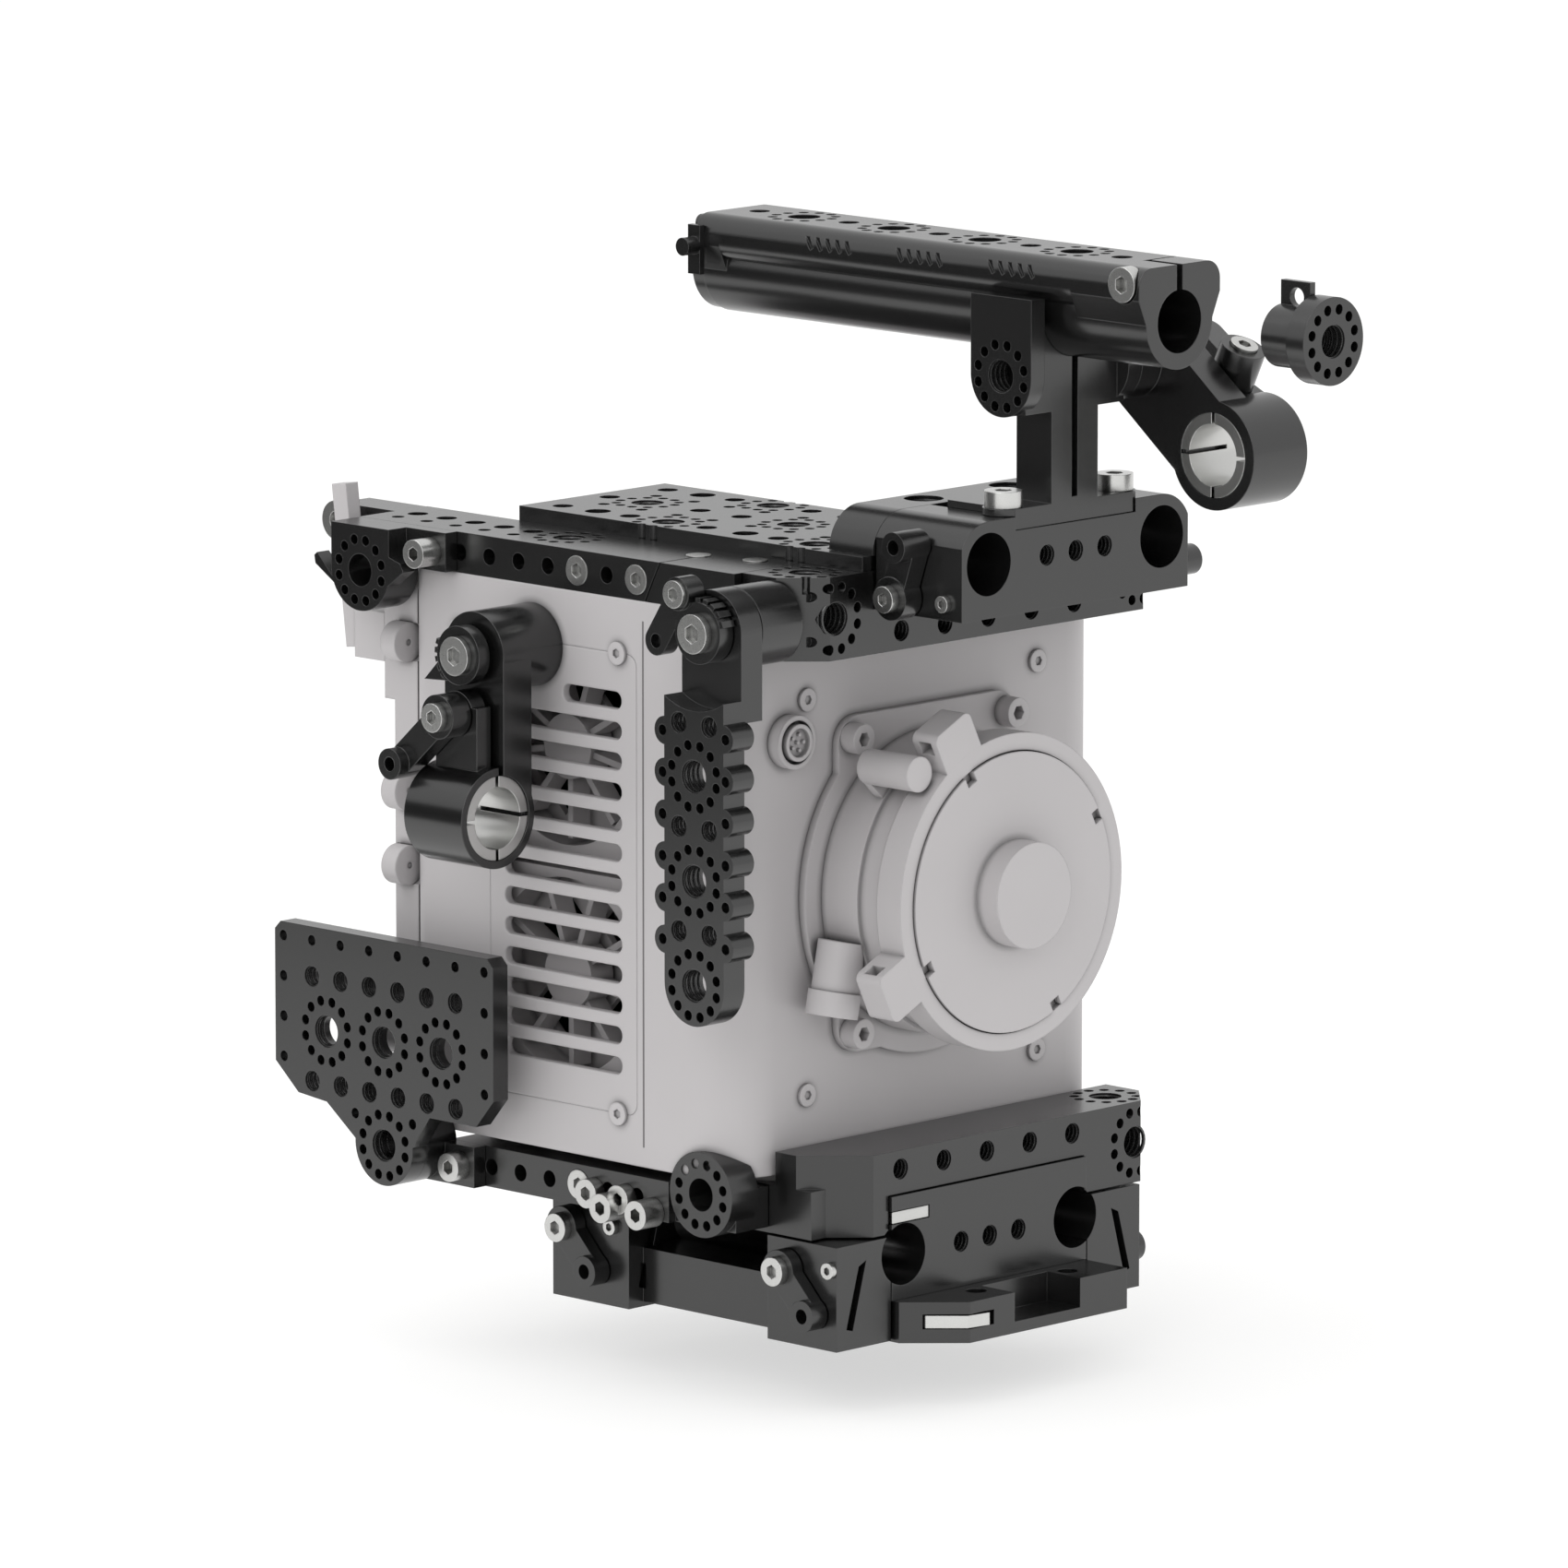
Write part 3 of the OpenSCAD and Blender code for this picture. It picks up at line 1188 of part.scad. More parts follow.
// Holes for a clamp lever's pivot screw and for the small screw beside it.
module lever_holes(sx, y) {
    mirror([sx > 0 ? 0 : 1, 0, 0]) {
        translate([clamp_out, y, clamp_z]) rotate([0, 90, 0]) drill(lever_shank_d + 0.2, 6);
        translate([clamp_out, y - 14, clamp_z + 1.5]) rotate([0, 90, 0]) drill(small_shank_d + 0.2, 3);
    }
}

// Box on one side of the camera, from its inner to its outer face.
module side_block(sx, inner, outer, span_y, low, high) {
    mirror([sx > 0 ? 0 : 1, 0, 0]) block([inner, span_y[0], low], [outer, span_y[1], high]);
}

// Thumb lever of a rod clamp.
module base_lever() {
    difference() {
        union() {
            cylinder(h = lever_t, r = 5);
            linear_extrude(lever_t) strap([0, 0], [-9.6, -9.4], 3.6);
            translate([-9.6, -9.4, 0]) cylinder(h = lever_t + 1.6, r = 3.8);
        }
        drill_through(4, lever_t);
        translate([-9.6, -9.4, lever_t + 1.6]) drill(3.6, 4);
    }
}
module base_lever_front() {
    color(alu_black) seat() to_left(-clamp_out - turn_gap, base_levers[0], clamp_z) base_lever();
}
module base_lever_rear() {
    color(alu_black) seat() to_left(-clamp_out - turn_gap, base_levers[1], clamp_z) base_lever();
}
module base_lever_right() {
    color(alu_black) seat() mirror([1, 0, 0])
        to_left(-clamp_out - turn_gap, base_levers[0], clamp_z) base_lever();
}

// Silver latch in the front corner of the base plate.
module plate_latch() {
    color(screw_silver) seat() translate([0, 0, latch_z + 0.3]) linear_extrude(3) polygon([
        [-plate_half + 4.4, base_front + 12], [-plate_half + 4.4, base_front + 7.4],
        [-plate_half + 11.4, base_front + 0.2], [-plate_half + 18, base_front - 0.8],
        [-plate_half + 18, base_front + 12]]);
}

body_shell();
front_cover();
vent_panel();
rear_cover();
rear_connectors();
front_socket();
body_screws();
foot_pads();
sensor_block();
heat_sink();
main_board();
fan_frames();
fan_rotor_upper();
fan_rotor_lower();
mount_barrel();
breech_ring();
port_cap();
mount_bolts();
lens_socket();
front_bar_upper();
side_rail_upper();
cheese_plate();
rear_lug_upper();
rear_stud();
cage_screws();
rear_latch();
front_bar_lower();
side_rail_lower();
rear_lug_lower();
side_plate();
rod_block_upper();
deck_plate();
block_lever();
block_screws();
handle_post();
handle_grip();
handle_end_cap();
handle_screws();
handle_latch();
end_plug();
arm_right();
arm_right_bush();
arm_right_lever();
arm_right_screws();
arm_left();
arm_left_bush();
arm_left_lever();
arm_left_knob();
arm_left_screws();
hanger_barrel();
hanger_plate();
hanger_lever();
hanger_screws();
rod_bridge();
base_plate();
base_clamps();
base_lever_front();
base_lever_rear();
base_lever_right();
plate_latch();
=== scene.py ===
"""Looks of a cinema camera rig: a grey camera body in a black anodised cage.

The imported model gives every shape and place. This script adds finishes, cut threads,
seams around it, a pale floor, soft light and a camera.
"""

import logging
import math
from dataclasses import dataclass, field
from enum import Enum

import bpy
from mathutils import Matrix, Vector

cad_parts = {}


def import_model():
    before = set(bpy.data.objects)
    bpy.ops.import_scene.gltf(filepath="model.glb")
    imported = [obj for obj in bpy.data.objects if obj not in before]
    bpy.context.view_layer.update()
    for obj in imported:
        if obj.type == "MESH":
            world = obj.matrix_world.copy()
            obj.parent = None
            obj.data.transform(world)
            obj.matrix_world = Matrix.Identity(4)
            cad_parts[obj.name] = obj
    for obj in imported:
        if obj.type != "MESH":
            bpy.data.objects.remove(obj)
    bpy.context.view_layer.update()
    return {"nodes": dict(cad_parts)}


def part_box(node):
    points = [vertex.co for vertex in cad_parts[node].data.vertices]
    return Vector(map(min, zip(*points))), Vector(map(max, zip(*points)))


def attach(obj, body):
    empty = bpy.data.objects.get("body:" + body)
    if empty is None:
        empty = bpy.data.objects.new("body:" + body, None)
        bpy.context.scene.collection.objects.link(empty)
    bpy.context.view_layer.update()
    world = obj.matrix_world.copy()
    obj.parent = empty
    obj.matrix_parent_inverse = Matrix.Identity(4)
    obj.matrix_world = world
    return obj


LOG = logging.getLogger("camera_rig")
MM = 0.001
Point = tuple[float, float, float]


class Facing(Enum):
    """The way that the mouth of a drilled hole looks."""

    FRONT = (0.0, -1.0, 0.0)
    LEFT = (-1.0, 0.0, 0.0)
    TOP = (0.0, 0.0, 1.0)


@dataclass(frozen=True)
class Thread:
    """A cut thread's size, in millimetres."""

    wall_r: float
    pitch: float


# The 3/8-16 thread in the middle of every rosette, and the 1/4-20 thread of the rows of holes.
ROSETTE_THREAD = Thread(4.0, 1.59)
QUARTER_THREAD = Thread(2.55, 1.27)


# ---------- colours and nodes ----------


def linear(hex_colour: str) -> tuple[float, float, float, float]:
    """Turns an sRGB hex colour into a linear one.

    Args:
        hex_colour: six hex digits after a hash sign.

    Returns:
        Linear red, green, blue and an alpha of one.
    """
    parts = [int(hex_colour[i : i + 2], 16) / 255 for i in (1, 3, 5)]
    out = [c / 12.92 if c <= 0.04045 else ((c + 0.055) / 1.055) ** 2.4 for c in parts]
    return (out[0], out[1], out[2], 1.0)


def add_node(tree: bpy.types.NodeTree, kind: str, settings: dict | None = None,
             inputs: dict | None = None) -> bpy.types.Node:
    """Adds one node, sets it and links it.

    Args:
        tree: the material's node tree.
        kind: the node's type name.
        settings: attributes of the node.
        inputs: value or output socket for each named input.

    Returns:
        The new node.
    """
    node = tree.nodes.new(kind)
    for name, value in (settings or {}).items():
        setattr(node, name, value)
    for name, value in (inputs or {}).items():
        socket = node.inputs[name]
        if isinstance(value, bpy.types.NodeSocket):
            tree.links.new(value, socket)
        else:
            socket.default_value = value
    return node


# ---------- finishes ----------

# How strongly the fine grain tilts the light.
GRAIN_STRENGTH = 0.6
# Cosines between the rounded and the flat normal, where an edge line starts and where it is full.
EDGE_STARTS = 0.97
EDGE_FULL = 0.75
# How far the grain takes the roughness below and above its mean.
GLOSS_BELOW = 0.04
GLOSS_ABOVE = 0.05


@dataclass(frozen=True)
class Finish:
    """A surface: its colours, gloss, fine grain, the soft highlight along its edges, a lighter edge
    line of wear and painted highlight, and painted shade in its corners and holes.
    """

    name: str
    base: str
    shade: str
    # Colour of the edge line, partly wear and partly painted highlight.
    edge_wear_and_highlight: str
    metallic: float
    roughness: float
    grain_mm: float
    grain_depth: float
    edge_mm: float
    edge_strength: float
    cloud_mm: float = 30.0
    stretch: Point = (1.0, 1.0, 1.0)
    ior: float = 1.5
    # How far the painted shade in corners and holes reaches.
    cavity_shade_mm: float = 2.0

    def material(self) -> bpy.types.Material:
        """Builds the finish's material once.

        Returns:
            The material.
        """
        found = bpy.data.materials.get(self.name)
        if found:
            return found
        made = bpy.data.materials.new(self.name)
        made.use_nodes = True
        tree = made.node_tree
        tree.nodes.clear()
        place = add_node(tree, "ShaderNodeTexCoord").outputs["Object"]
        pull = add_node(tree, "ShaderNodeMapping", inputs={
            "Vector": place, "Scale": self.stretch})
        # Broad clouds: dye and paint never take quite evenly.
        cloud = add_node(tree, "ShaderNodeTexNoise", inputs={
            "Vector": place, "Scale": 1 / (self.cloud_mm * MM), "Detail": 3.0})
        mix = add_node(tree, "ShaderNodeMix", {"data_type": "RGBA"})
        tree.links.new(cloud.outputs["Fac"], mix.inputs["Factor"])
        mix.inputs["A"].default_value = linear(self.base)
        mix.inputs["B"].default_value = linear(self.shade)
        # Fine grain: blast grit on anodised parts, orange peel on paint. It is drawn coarser than
        # the real grit, so that it shows.
        grit = add_node(tree, "ShaderNodeTexNoise", inputs={
            "Vector": pull.outputs["Vector"], "Scale": 1 / (self.grain_mm * MM), "Detail": 2.0})
        rounded = add_node(tree, "ShaderNodeBevel", {"samples": 6}, {
            "Radius": self.edge_mm * MM})
        bump = add_node(tree, "ShaderNodeBump", inputs={
            "Height": grit.outputs["Fac"], "Distance": self.grain_depth * MM,
            "Strength": GRAIN_STRENGTH, "Normal": rounded.outputs["Normal"]})
        # Edges catch a lighter line: partly wear where they are handled or cut last, partly a painted
        # highlight where a rounded edge meets the light.
        geometry = add_node(tree, "ShaderNodeNewGeometry")
        meet = add_node(tree, "ShaderNodeVectorMath", {"operation": "DOT_PRODUCT"}, {
            0: rounded.outputs["Normal"], 1: geometry.outputs["Normal"]})
        line = add_node(tree, "ShaderNodeMapRange", {"clamp": True}, {
            "Value": meet.outputs["Value"], "From Min": EDGE_STARTS, "From Max": EDGE_FULL,
            "To Min": 0.0, "To Max": self.edge_strength})
        wear_and_highlight_mix = add_node(tree, "ShaderNodeMix", {"data_type": "RGBA"})
        tree.links.new(line.outputs["Result"], wear_and_highlight_mix.inputs["Factor"])
        tree.links.new(mix.outputs["Result"], wear_and_highlight_mix.inputs["A"])
        wear_and_highlight_mix.inputs["B"].default_value = linear(self.edge_wear_and_highlight)
        # Painted shade: ambient occlusion darkens the colour in corners and holes, where shade falls.
        painted_cavity_shade = add_node(tree, "ShaderNodeAmbientOcclusion", {"samples": 4}, {
            "Distance": self.cavity_shade_mm * MM, "Color": wear_and_highlight_mix.outputs["Result"]})
        gloss = add_node(tree, "ShaderNodeMapRange", inputs={
            "Value": grit.outputs["Fac"], "To Min": self.roughness - GLOSS_BELOW,
            "To Max": self.roughness + GLOSS_ABOVE})
        shader = add_node(tree, "ShaderNodeBsdfPrincipled", inputs={
            "Base Color": painted_cavity_shade.outputs["Color"], "Roughness": gloss.outputs["Result"],
            "Metallic": self.metallic, "IOR": self.ior, "Normal": bump.outputs["Normal"]})
        add_node(tree, "ShaderNodeOutputMaterial", inputs={"Surface": shader.outputs["BSDF"]})
        return made


# Painted die-cast shell: satin light grey, with a faint orange peel.
PAINTED_SHELL = Finish("painted_shell_grey", "#bab7b8", "#b4b1b2", "#cfcdce",
                       0.0, 0.52, 0.5, 0.01, 0.8, 0.3)
# Painted turned parts of the lens port, a touch lighter than the shell.
PAINTED_PORT = Finish("painted_port_grey", "#bcb9ba", "#b6b3b4", "#d2d0d1",
                      0.0, 0.5, 0.5, 0.01, 0.6, 0.35)
# Black Type II anodise on blasted aluminium: satin, with lighter edges, partly broken edges and
# partly painted highlight.
BLACK_ANODISE = Finish("black_anodised_aluminium", "#0e0e0e", "#141414", "#4c4c4c",
                       0.0, 0.24, 0.25, 0.002, 0.22, 0.3, ior=1.72)
# The same anodise on the handle's tube, the arms and the hanger's barrel: smoother, glossier.
SATIN_ANODISE = Finish("satin_anodised_tube", "#0e0e0e", "#131313", "#4c4c4c",
                       0.0, 0.22, 0.3, 0.002, 0.35, 0.3, ior=1.72)
# Turned stainless of the screws, the stud and the base's latch: bright, with crisp rims lightened by
# the edge line of wear and painted highlight.
STAINLESS = Finish("turned_stainless", "#d8d8d6", "#c2c2c0", "#f2f2f0",
                   1.0, 0.28, 0.2, 0.004, 0.25, 0.6)
# Split bushes of bare turned aluminium: bright, with fine marks drawn out along the bore.
BARE_BUSH = Finish("bare_turned_aluminium", "#d4d4d2", "#c4c4c2", "#eeeeec",
                   1.0, 0.3, 0.25, 0.006, 0.3, 0.5, stretch=(1.0, 0.2, 1.0))
# Cut and then anodised thread flanks, a shade lighter than the faces round them.
CUT_THREAD = Finish("cut_thread_black", "#141414", "#1c1c1c", "#555555",
                    0.0, 0.26, 0.3, 0.002, 0.1, 0.3, ior=1.72)
# Moulded glass-filled nylon of the fans: matt, in the shell's grey.
FAN_NYLON = Finish("moulded_nylon_grey", "#b2afb0", "#aaa7a8", "#c4c2c3",
                   0.0, 0.5, 0.4, 0.01, 0.4, 0.2)
# Solder-masked glass-fibre board: dark green and half glossy.
SOLDER_MASK = Finish("solder_mask_board", "#1d4030", "#17362a", "#56705f",
                     0.0, 0.35, 0.8, 0.01, 0.2, 0.2)
# Extruded aluminium of the heat sink: bare, with marks drawn out from front to back.
EXTRUSION = Finish("extruded_aluminium", "#a8a8aa", "#98989a", "#d0d0d2",
                   1.0, 0.4, 0.3, 0.01, 0.3, 0.3, stretch=(1.0, 0.1, 1.0))
# Coated glass of the sensor stack: dark blue-grey and smooth.
SENSOR_COAT = Finish("sensor_coat", "#17181c", "#1d1f26", "#3a3a44",
                     0.0, 0.2, 0.8, 0.002, 0.2, 0.2)
# Moulded rubber of the feet: matt pale grey.
FOOT_RUBBER = Finish("moulded_rubber", "#b9b7b7", "#b0aeae", "#c4c4c4",
                     0.0, 0.7, 0.4, 0.02, 0.4, 0.2)
# Painted shade of the body's seam: a darker grey that stands for the shadow in the shut line.
SEAM_SHADE = Finish("seam_shade", "#6f6c6d", "#666364", "#7d7a7b",
                    0.0, 0.7, 0.4, 0.004, 0.1, 0.1)
# Matt paper of the floor: pale grey, which its glow lifts to white.
STUDIO_PAPER = Finish("studio_paper", "#b4b4b3", "#b2b2b1", "#b8b8b7",
                      0.0, 0.95, 4.0, 0.001, 0.1, 0.0, cloud_mm=400.0)
# Matt felt of the card, mid grey.
STUDIO_FELT = Finish("studio_felt", "#3c3c3c", "#383838", "#404040",
                     0.0, 0.95, 4.0, 0.001, 0.1, 0.0, cloud_mm=400.0)


def dress(node: bpy.types.Object, finish: Finish) -> None:
    """Puts one finish on all of a piece's material slots.

    Args:
        node: the piece.
        finish: its surface.
    """
    if not node.data.materials:
        node.data.materials.append(finish.material())
    for slot in node.material_slots:
        slot.material = finish.material()


# ---------- modelling tools ----------


def deselect() -> None:
    """Leaves edit mode and selects nothing."""
    if bpy.context.object and bpy.context.object.mode != "OBJECT":
        bpy.ops.object.mode_set(mode="OBJECT")
    bpy.ops.object.select_all(action="DESELECT")


def pick(piece: bpy.types.Object) -> None:
    """Selects one piece and makes it active.

    Args:
        piece: the piece.
    """
    deselect()
    piece.select_set(True)
    bpy.context.view_layer.objects.active = piece


def rename(piece: bpy.types.Object, name: str) -> None:
    """Names a piece and its mesh.

    Args:
        piece: the piece.
        name: the name of both.
    """
    piece.name = name
    piece.data.name = name


def aim(thing: bpy.types.Object, way: Vector) -> None:
    """Turns a lamp or a camera to look along a way.

    Args:
        thing: the lamp or camera.
        way: the direction that it looks in.
    """
    thing.rotation_euler = way.to_track_quat("-Z", "Y").to_euler()


def settle(piece: bpy.types.Object, name: str) -> bpy.types.Object:
    """Names a piece and puts its place into its mesh.

    Args:
        piece: the new object.
        name: its name.

    Returns:
        The same object, at the origin.
    """
    pick(piece)
    bpy.ops.object.transform_apply(location=True, rotation=True, scale=True)
    rename(piece, name)
    return piece


def copy_to(piece: bpy.types.Object, name: str, place: Vector, way: Vector) -> bpy.types.Object:
    """Copies a piece made along +Z at the origin to a place, turned along a way.

    Args:
        piece: the pattern piece.
        name: the copy's name.
        place: where its origin goes.
        way: where its +Z goes.

    Returns:
        The copy, with its own mesh.
    """
    twin = piece.copy()
    twin.data = piece.data.copy()
    bpy.context.collection.objects.link(twin)
    twin.rotation_mode = "QUATERNION"
    twin.rotation_quaternion = way.to_track_quat("Z", "Y")
    twin.location = place
    return settle(twin, name)


def smooth(piece: bpy.types.Object, degrees: float) -> None:
    """Smooths a piece's shading across gentle angles.

    Args:
        piece: the piece.
        degrees: the sharpest angle that is smoothed.
    """
    pick(piece)
    bpy.ops.object.shade_smooth_by_angle(angle=math.radians(degrees))


def join(pieces: list[bpy.types.Object], name: str) -> bpy.types.Object:
    """Joins pieces into one.

    Args:
        pieces: what is joined.
        name: the joined piece's name.

    Returns:
        The joined piece.
    """
    pick(pieces[0])
    for piece in pieces:
        piece.select_set(True)
    if len(pieces) > 1:
        bpy.ops.object.join()
    joined = bpy.context.view_layer.objects.active
    rename(joined, name)
    return joined


# ---------- sub-assemblies ----------


@dataclass(frozen=True)
class ThreadCutter:
    """Cut threads, as ridges round the wall of a drilled hole.

    The first ridge lies a little inside the mouth, and a ridge's half width is a share of the pitch.
    """

    mouth_mm: float = 0.9
    ridge_share: float = 0.3
    ridge_stretch: float = 1.05
    round_steps: int = 24
    ridge_steps: int = 6
    smooth_degrees: float = 60.0

    def ridges(self, thread: Thread, turns: int) -> bpy.types.Object:
        """Models a stack of thread ridges along +Z, from just inside the mouth down.

        Args:
            thread: the thread's size.
            turns: how many ridges.

        Returns:
            The stack, at the origin.
        """
        rings = []
        for turn in range(turns):
            deselect()
            bpy.ops.mesh.primitive_torus_add(
                major_segments=self.round_steps, minor_segments=self.ridge_steps,
                major_radius=thread.wall_r * MM, minor_radius=thread.pitch * self.ridge_share * MM,
                location=(0, 0, -(self.mouth_mm + turn * thread.pitch) * MM))
            ring = bpy.context.object
            bpy.ops.object.mode_set(mode="EDIT")
            bpy.ops.mesh.select_all(action="SELECT")
            bpy.ops.transform.resize(value=(1.0, 1.0, self.ridge_stretch))
            bpy.ops.object.mode_set(mode="OBJECT")
            rings.append(settle(ring, f"ridge_{turn}"))
        stack = join(rings, "ridges")
        smooth(stack, self.smooth_degrees)
        return stack

    def cut(self, body: str, name: str, places: list[Point], facing: Facing, thread: Thread,
            turns: int) -> None:
        """Puts ridges into holes that face one way.

        Args:
            body: the CAD body that the holes are in.
            name: the name of the group.
            places: mouths of the holes in millimetres.
            facing: the way that the mouths look.
            thread: the thread's size.
            turns: ridges in each hole.
        """
        pattern = self.ridges(thread, turns)
        copies = [copy_to(pattern, f"{name}_{i}", Vector(p) * MM, Vector(facing.value))
                  for i, p in enumerate(places)]
        bpy.data.objects.remove(pattern)
        group = join(copies, name)
        dress(group, CUT_THREAD)
        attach(group, body)
        LOG.info("%s: %d threads", name, len(places))


@dataclass
class CameraBody:
    """The grey camera: shell, covers, fans and the electronics behind the louvres."""

    shell_nodes: list[str] = field(default_factory=lambda: [
        "body_shell", "front_cover", "vent_panel", "rear_cover", "rear_connectors", "front_socket"])
    fan_nodes: list[str] = field(default_factory=lambda: [
        "fan_frames", "fan_rotor_upper", "fan_rotor_lower"])
    seam_y: float = 6.8
    seam_width: float = 0.5
    seam_depth: float = 0.1
    seam_proud: float = 0.01
    seam_bevel: float = 0.04
    seam_share: float = 0.93

    def build(self, nodes: dict) -> None:
        """Dresses the body and adds its seam.

        Args:
            nodes: the CAD nodes by name.
        """
        for name in self.shell_nodes:
            dress(nodes[name], PAINTED_SHELL)
        for name in self.fan_nodes:
            dress(nodes[name], FAN_NYLON)
        dress(nodes["body_screws"], PAINTED_PORT)
        dress(nodes["foot_pads"], FOOT_RUBBER)
        dress(nodes["sensor_block"], SENSOR_COAT)
        dress(nodes["heat_sink"], EXTRUSION)
        dress(nodes["main_board"], SOLDER_MASK)
        self.seam()
        LOG.info("camera body dressed")

    def seam(self) -> None:
        """Adds the shut line between the front housing and the side, as a thin darker strip of
        painted shade.
        """
        low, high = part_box("body_shell")
        deselect()
        bpy.ops.mesh.primitive_cube_add(
            size=1.0, location=(low.x - self.seam_proud * MM, self.seam_y * MM, (low.z + high.z) / 2))
        line = bpy.context.object
        line.scale = (self.seam_depth * MM, self.seam_width * MM, (high.z - low.z) * self.seam_share)
        settle(line, "side_seam_0")
        bpy.ops.object.mode_set(mode="EDIT")
        bpy.ops.mesh.select_all(action="SELECT")
        bpy.ops.mesh.bevel(offset=self.seam_bevel * MM, segments=1)
        bpy.ops.object.mode_set(mode="OBJECT")
        dress(line, SEAM_SHADE)
        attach(line, "root")


@dataclass
class LensPort:
    """The round lens port: barrel, breech ring, cap and its bolts."""

    nodes: list[str] = field(default_factory=lambda: [
        "mount_barrel", "breech_ring", "port_cap", "mount_bolts", "lens_socket"])

    def build(self, nodes: dict) -> None:
        """Dresses the port.

        Args:
            nodes: the CAD nodes by name.
        """
        for name in self.nodes:
            dress(nodes[name], PAINTED_PORT)
        LOG.info("lens port dressed")


@dataclass
class Cage:
    """Front bars, side rails, cheese plate, lugs and side plate."""

    black: list[str] = field(default_factory=lambda: [
        "front_bar_upper", "side_rail_upper", "cheese_plate", "rear_lug_upper", "front_bar_lower",
        "side_rail_lower", "rear_lug_lower", "side_plate", "rod_block_upper", "deck_plate",
        "block_lever"])
    silver: list[str] = field(default_factory=lambda: ["cage_screws", "rear_stud", "block_screws"])
    front_y: float = -44.0
    block_front_y: float = -72.5
    bar_middle_y: float = -34.0
    rosette_x: float = 52.4
    upper_rosette_z: float = 177.4
    lower_rosette_z: float = 36.2
    rosette_to_top: float = 10.0
    bar_rows_z: tuple[float, float] = (172.0, 41.6)
    bar_pitch: float = 15.0
    block_row_z: float = 191.0
    block_pitch: float = 10.0
    plate_x: float = -81.0
    plate_middle: tuple[float, float] = (81.0, 62.5)
    plate_rosettes: tuple[tuple[float, float], ...] = ((0, -25.5), (0, 0), (-20, 0), (20, 0))
    plate_rows_z: tuple[float, float] = (-13.0, 13.0)
    plate_columns: int = 6
    plate_pitch: float = 10.0
    rail_rosette: tuple[float, float] = (-53.6, 44.0)
    cheese_top_z: float = 191.0
    cheese_rosettes: tuple[tuple[float, float], ...] = (
        (-36, -21.5), (0, -21.5), (-36, 28), (0, 28), (-18, 3.5), (-18, 53))

    def build(self, nodes: dict, cutter: ThreadCutter) -> None:
        """Dresses the cage and cuts its threads.

        Args:
            nodes: the CAD nodes by name.
            cutter: cuts the threads.
        """
        for name in self.black:
            dress(nodes[name], BLACK_ANODISE)
        for name in self.silver:
            dress(nodes[name], STAINLESS)
        dress(nodes["rear_latch"], PAINTED_PORT)
        self.front_threads(cutter)
        self.plate_threads(cutter)
        self.top_threads(cutter)
        LOG.info("cage dressed")

    def front_threads(self, cutter: ThreadCutter) -> None:
        """Cuts the threads in the front bars and the rod block.

        Args:
            cutter: cuts the threads.
        """
        cutter.cut("root", "front_bar_threads",
                   [(-self.rosette_x, self.front_y, self.upper_rosette_z),
                    (self.rosette_x, self.front_y, self.upper_rosette_z),
                    (self.rosette_x, self.front_y, self.lower_rosette_z)],
                   Facing.FRONT, ROSETTE_THREAD, 5)
        cutter.cut("root", "bar_row_threads",
                   [(self.bar_pitch * i, self.front_y, z)
                    for z in self.bar_rows_z for i in range(-2, 3)],
                   Facing.FRONT, QUARTER_THREAD, 7)
        cutter.cut("root", "block_row_threads",
                   [(self.block_pitch * i, self.block_front_y, self.block_row_z) for i in (-1, 0, 1)],
                   Facing.FRONT, QUARTER_THREAD, 8)

    def plate_threads(self, cutter: ThreadCutter) -> None:
        """Cuts the threads in the side plate.

        Args:
            cutter: cuts the threads.
        """
        middle_y, middle_z = self.plate_middle
        cutter.cut("root", "plate_rosette_threads",
                   [(self.plate_x, middle_y + y, middle_z + z) for y, z in self.plate_rosettes],
                   Facing.LEFT, ROSETTE_THREAD, 2)
        cutter.cut("root", "plate_quarter_threads",
                   [(self.plate_x, middle_y + self.plate_pitch * (i - (self.plate_columns - 1) / 2),
                     middle_z + z)
                    for i in range(self.plate_columns) for z in self.plate_rows_z],
                   Facing.LEFT, QUARTER_THREAD, 3)

    def top_threads(self, cutter: ThreadCutter) -> None:
        """Cuts the threads that look up from the bars, the side rail and the cheese plate.

        Args:
            cutter: cuts the threads.
        """
        upper_top = self.upper_rosette_z + self.rosette_to_top
        lower_top = self.lower_rosette_z + self.rosette_to_top
        cutter.cut("root", "top_rosette_threads",
                   [(-self.rosette_x, self.bar_middle_y, upper_top),
                    (self.rosette_x, self.bar_middle_y, upper_top),
                    (self.rosette_x, self.bar_middle_y, lower_top), (*self.rail_rosette, upper_top)],
                   Facing.TOP, ROSETTE_THREAD, 3)
        cutter.cut("root", "cheese_rosette_threads",
                   [(x, y, self.cheese_top_z) for x, y in self.cheese_rosettes],
                   Facing.TOP, ROSETTE_THREAD, 4)


@dataclass
class TopHandle:
    """Post, grip, its cap, latch and the pulled-out plug."""

    black: list[str] = field(default_factory=lambda: ["handle_post", "handle_latch", "end_plug"])
    satin: list[str] = field(default_factory=lambda: ["handle_grip", "handle_end_cap"])
    ear_rosette: Point = (-19.2, -66.0, 234.0)
    plug_face: Point = (0.0, -154.0, 249.0)

    def build(self, nodes: dict, cutter: ThreadCutter) -> None:
        """Dresses the handle and cuts its threads.

        Args:
            nodes: the CAD nodes by name.
            cutter: cuts the threads.
        """
        for name in self.black:
            dress(nodes[name], BLACK_ANODISE)
        for name in self.satin:
            dress(nodes[name], SATIN_ANODISE)
        dress(nodes["handle_screws"], STAINLESS)
        cutter.cut("root", "post_thread_left", [self.ear_rosette], Facing.LEFT, ROSETTE_THREAD, 4)
        cutter.cut("plug", "plug_thread", [self.plug_face], Facing.FRONT, ROSETTE_THREAD, 5)
        LOG.info("handle dressed")


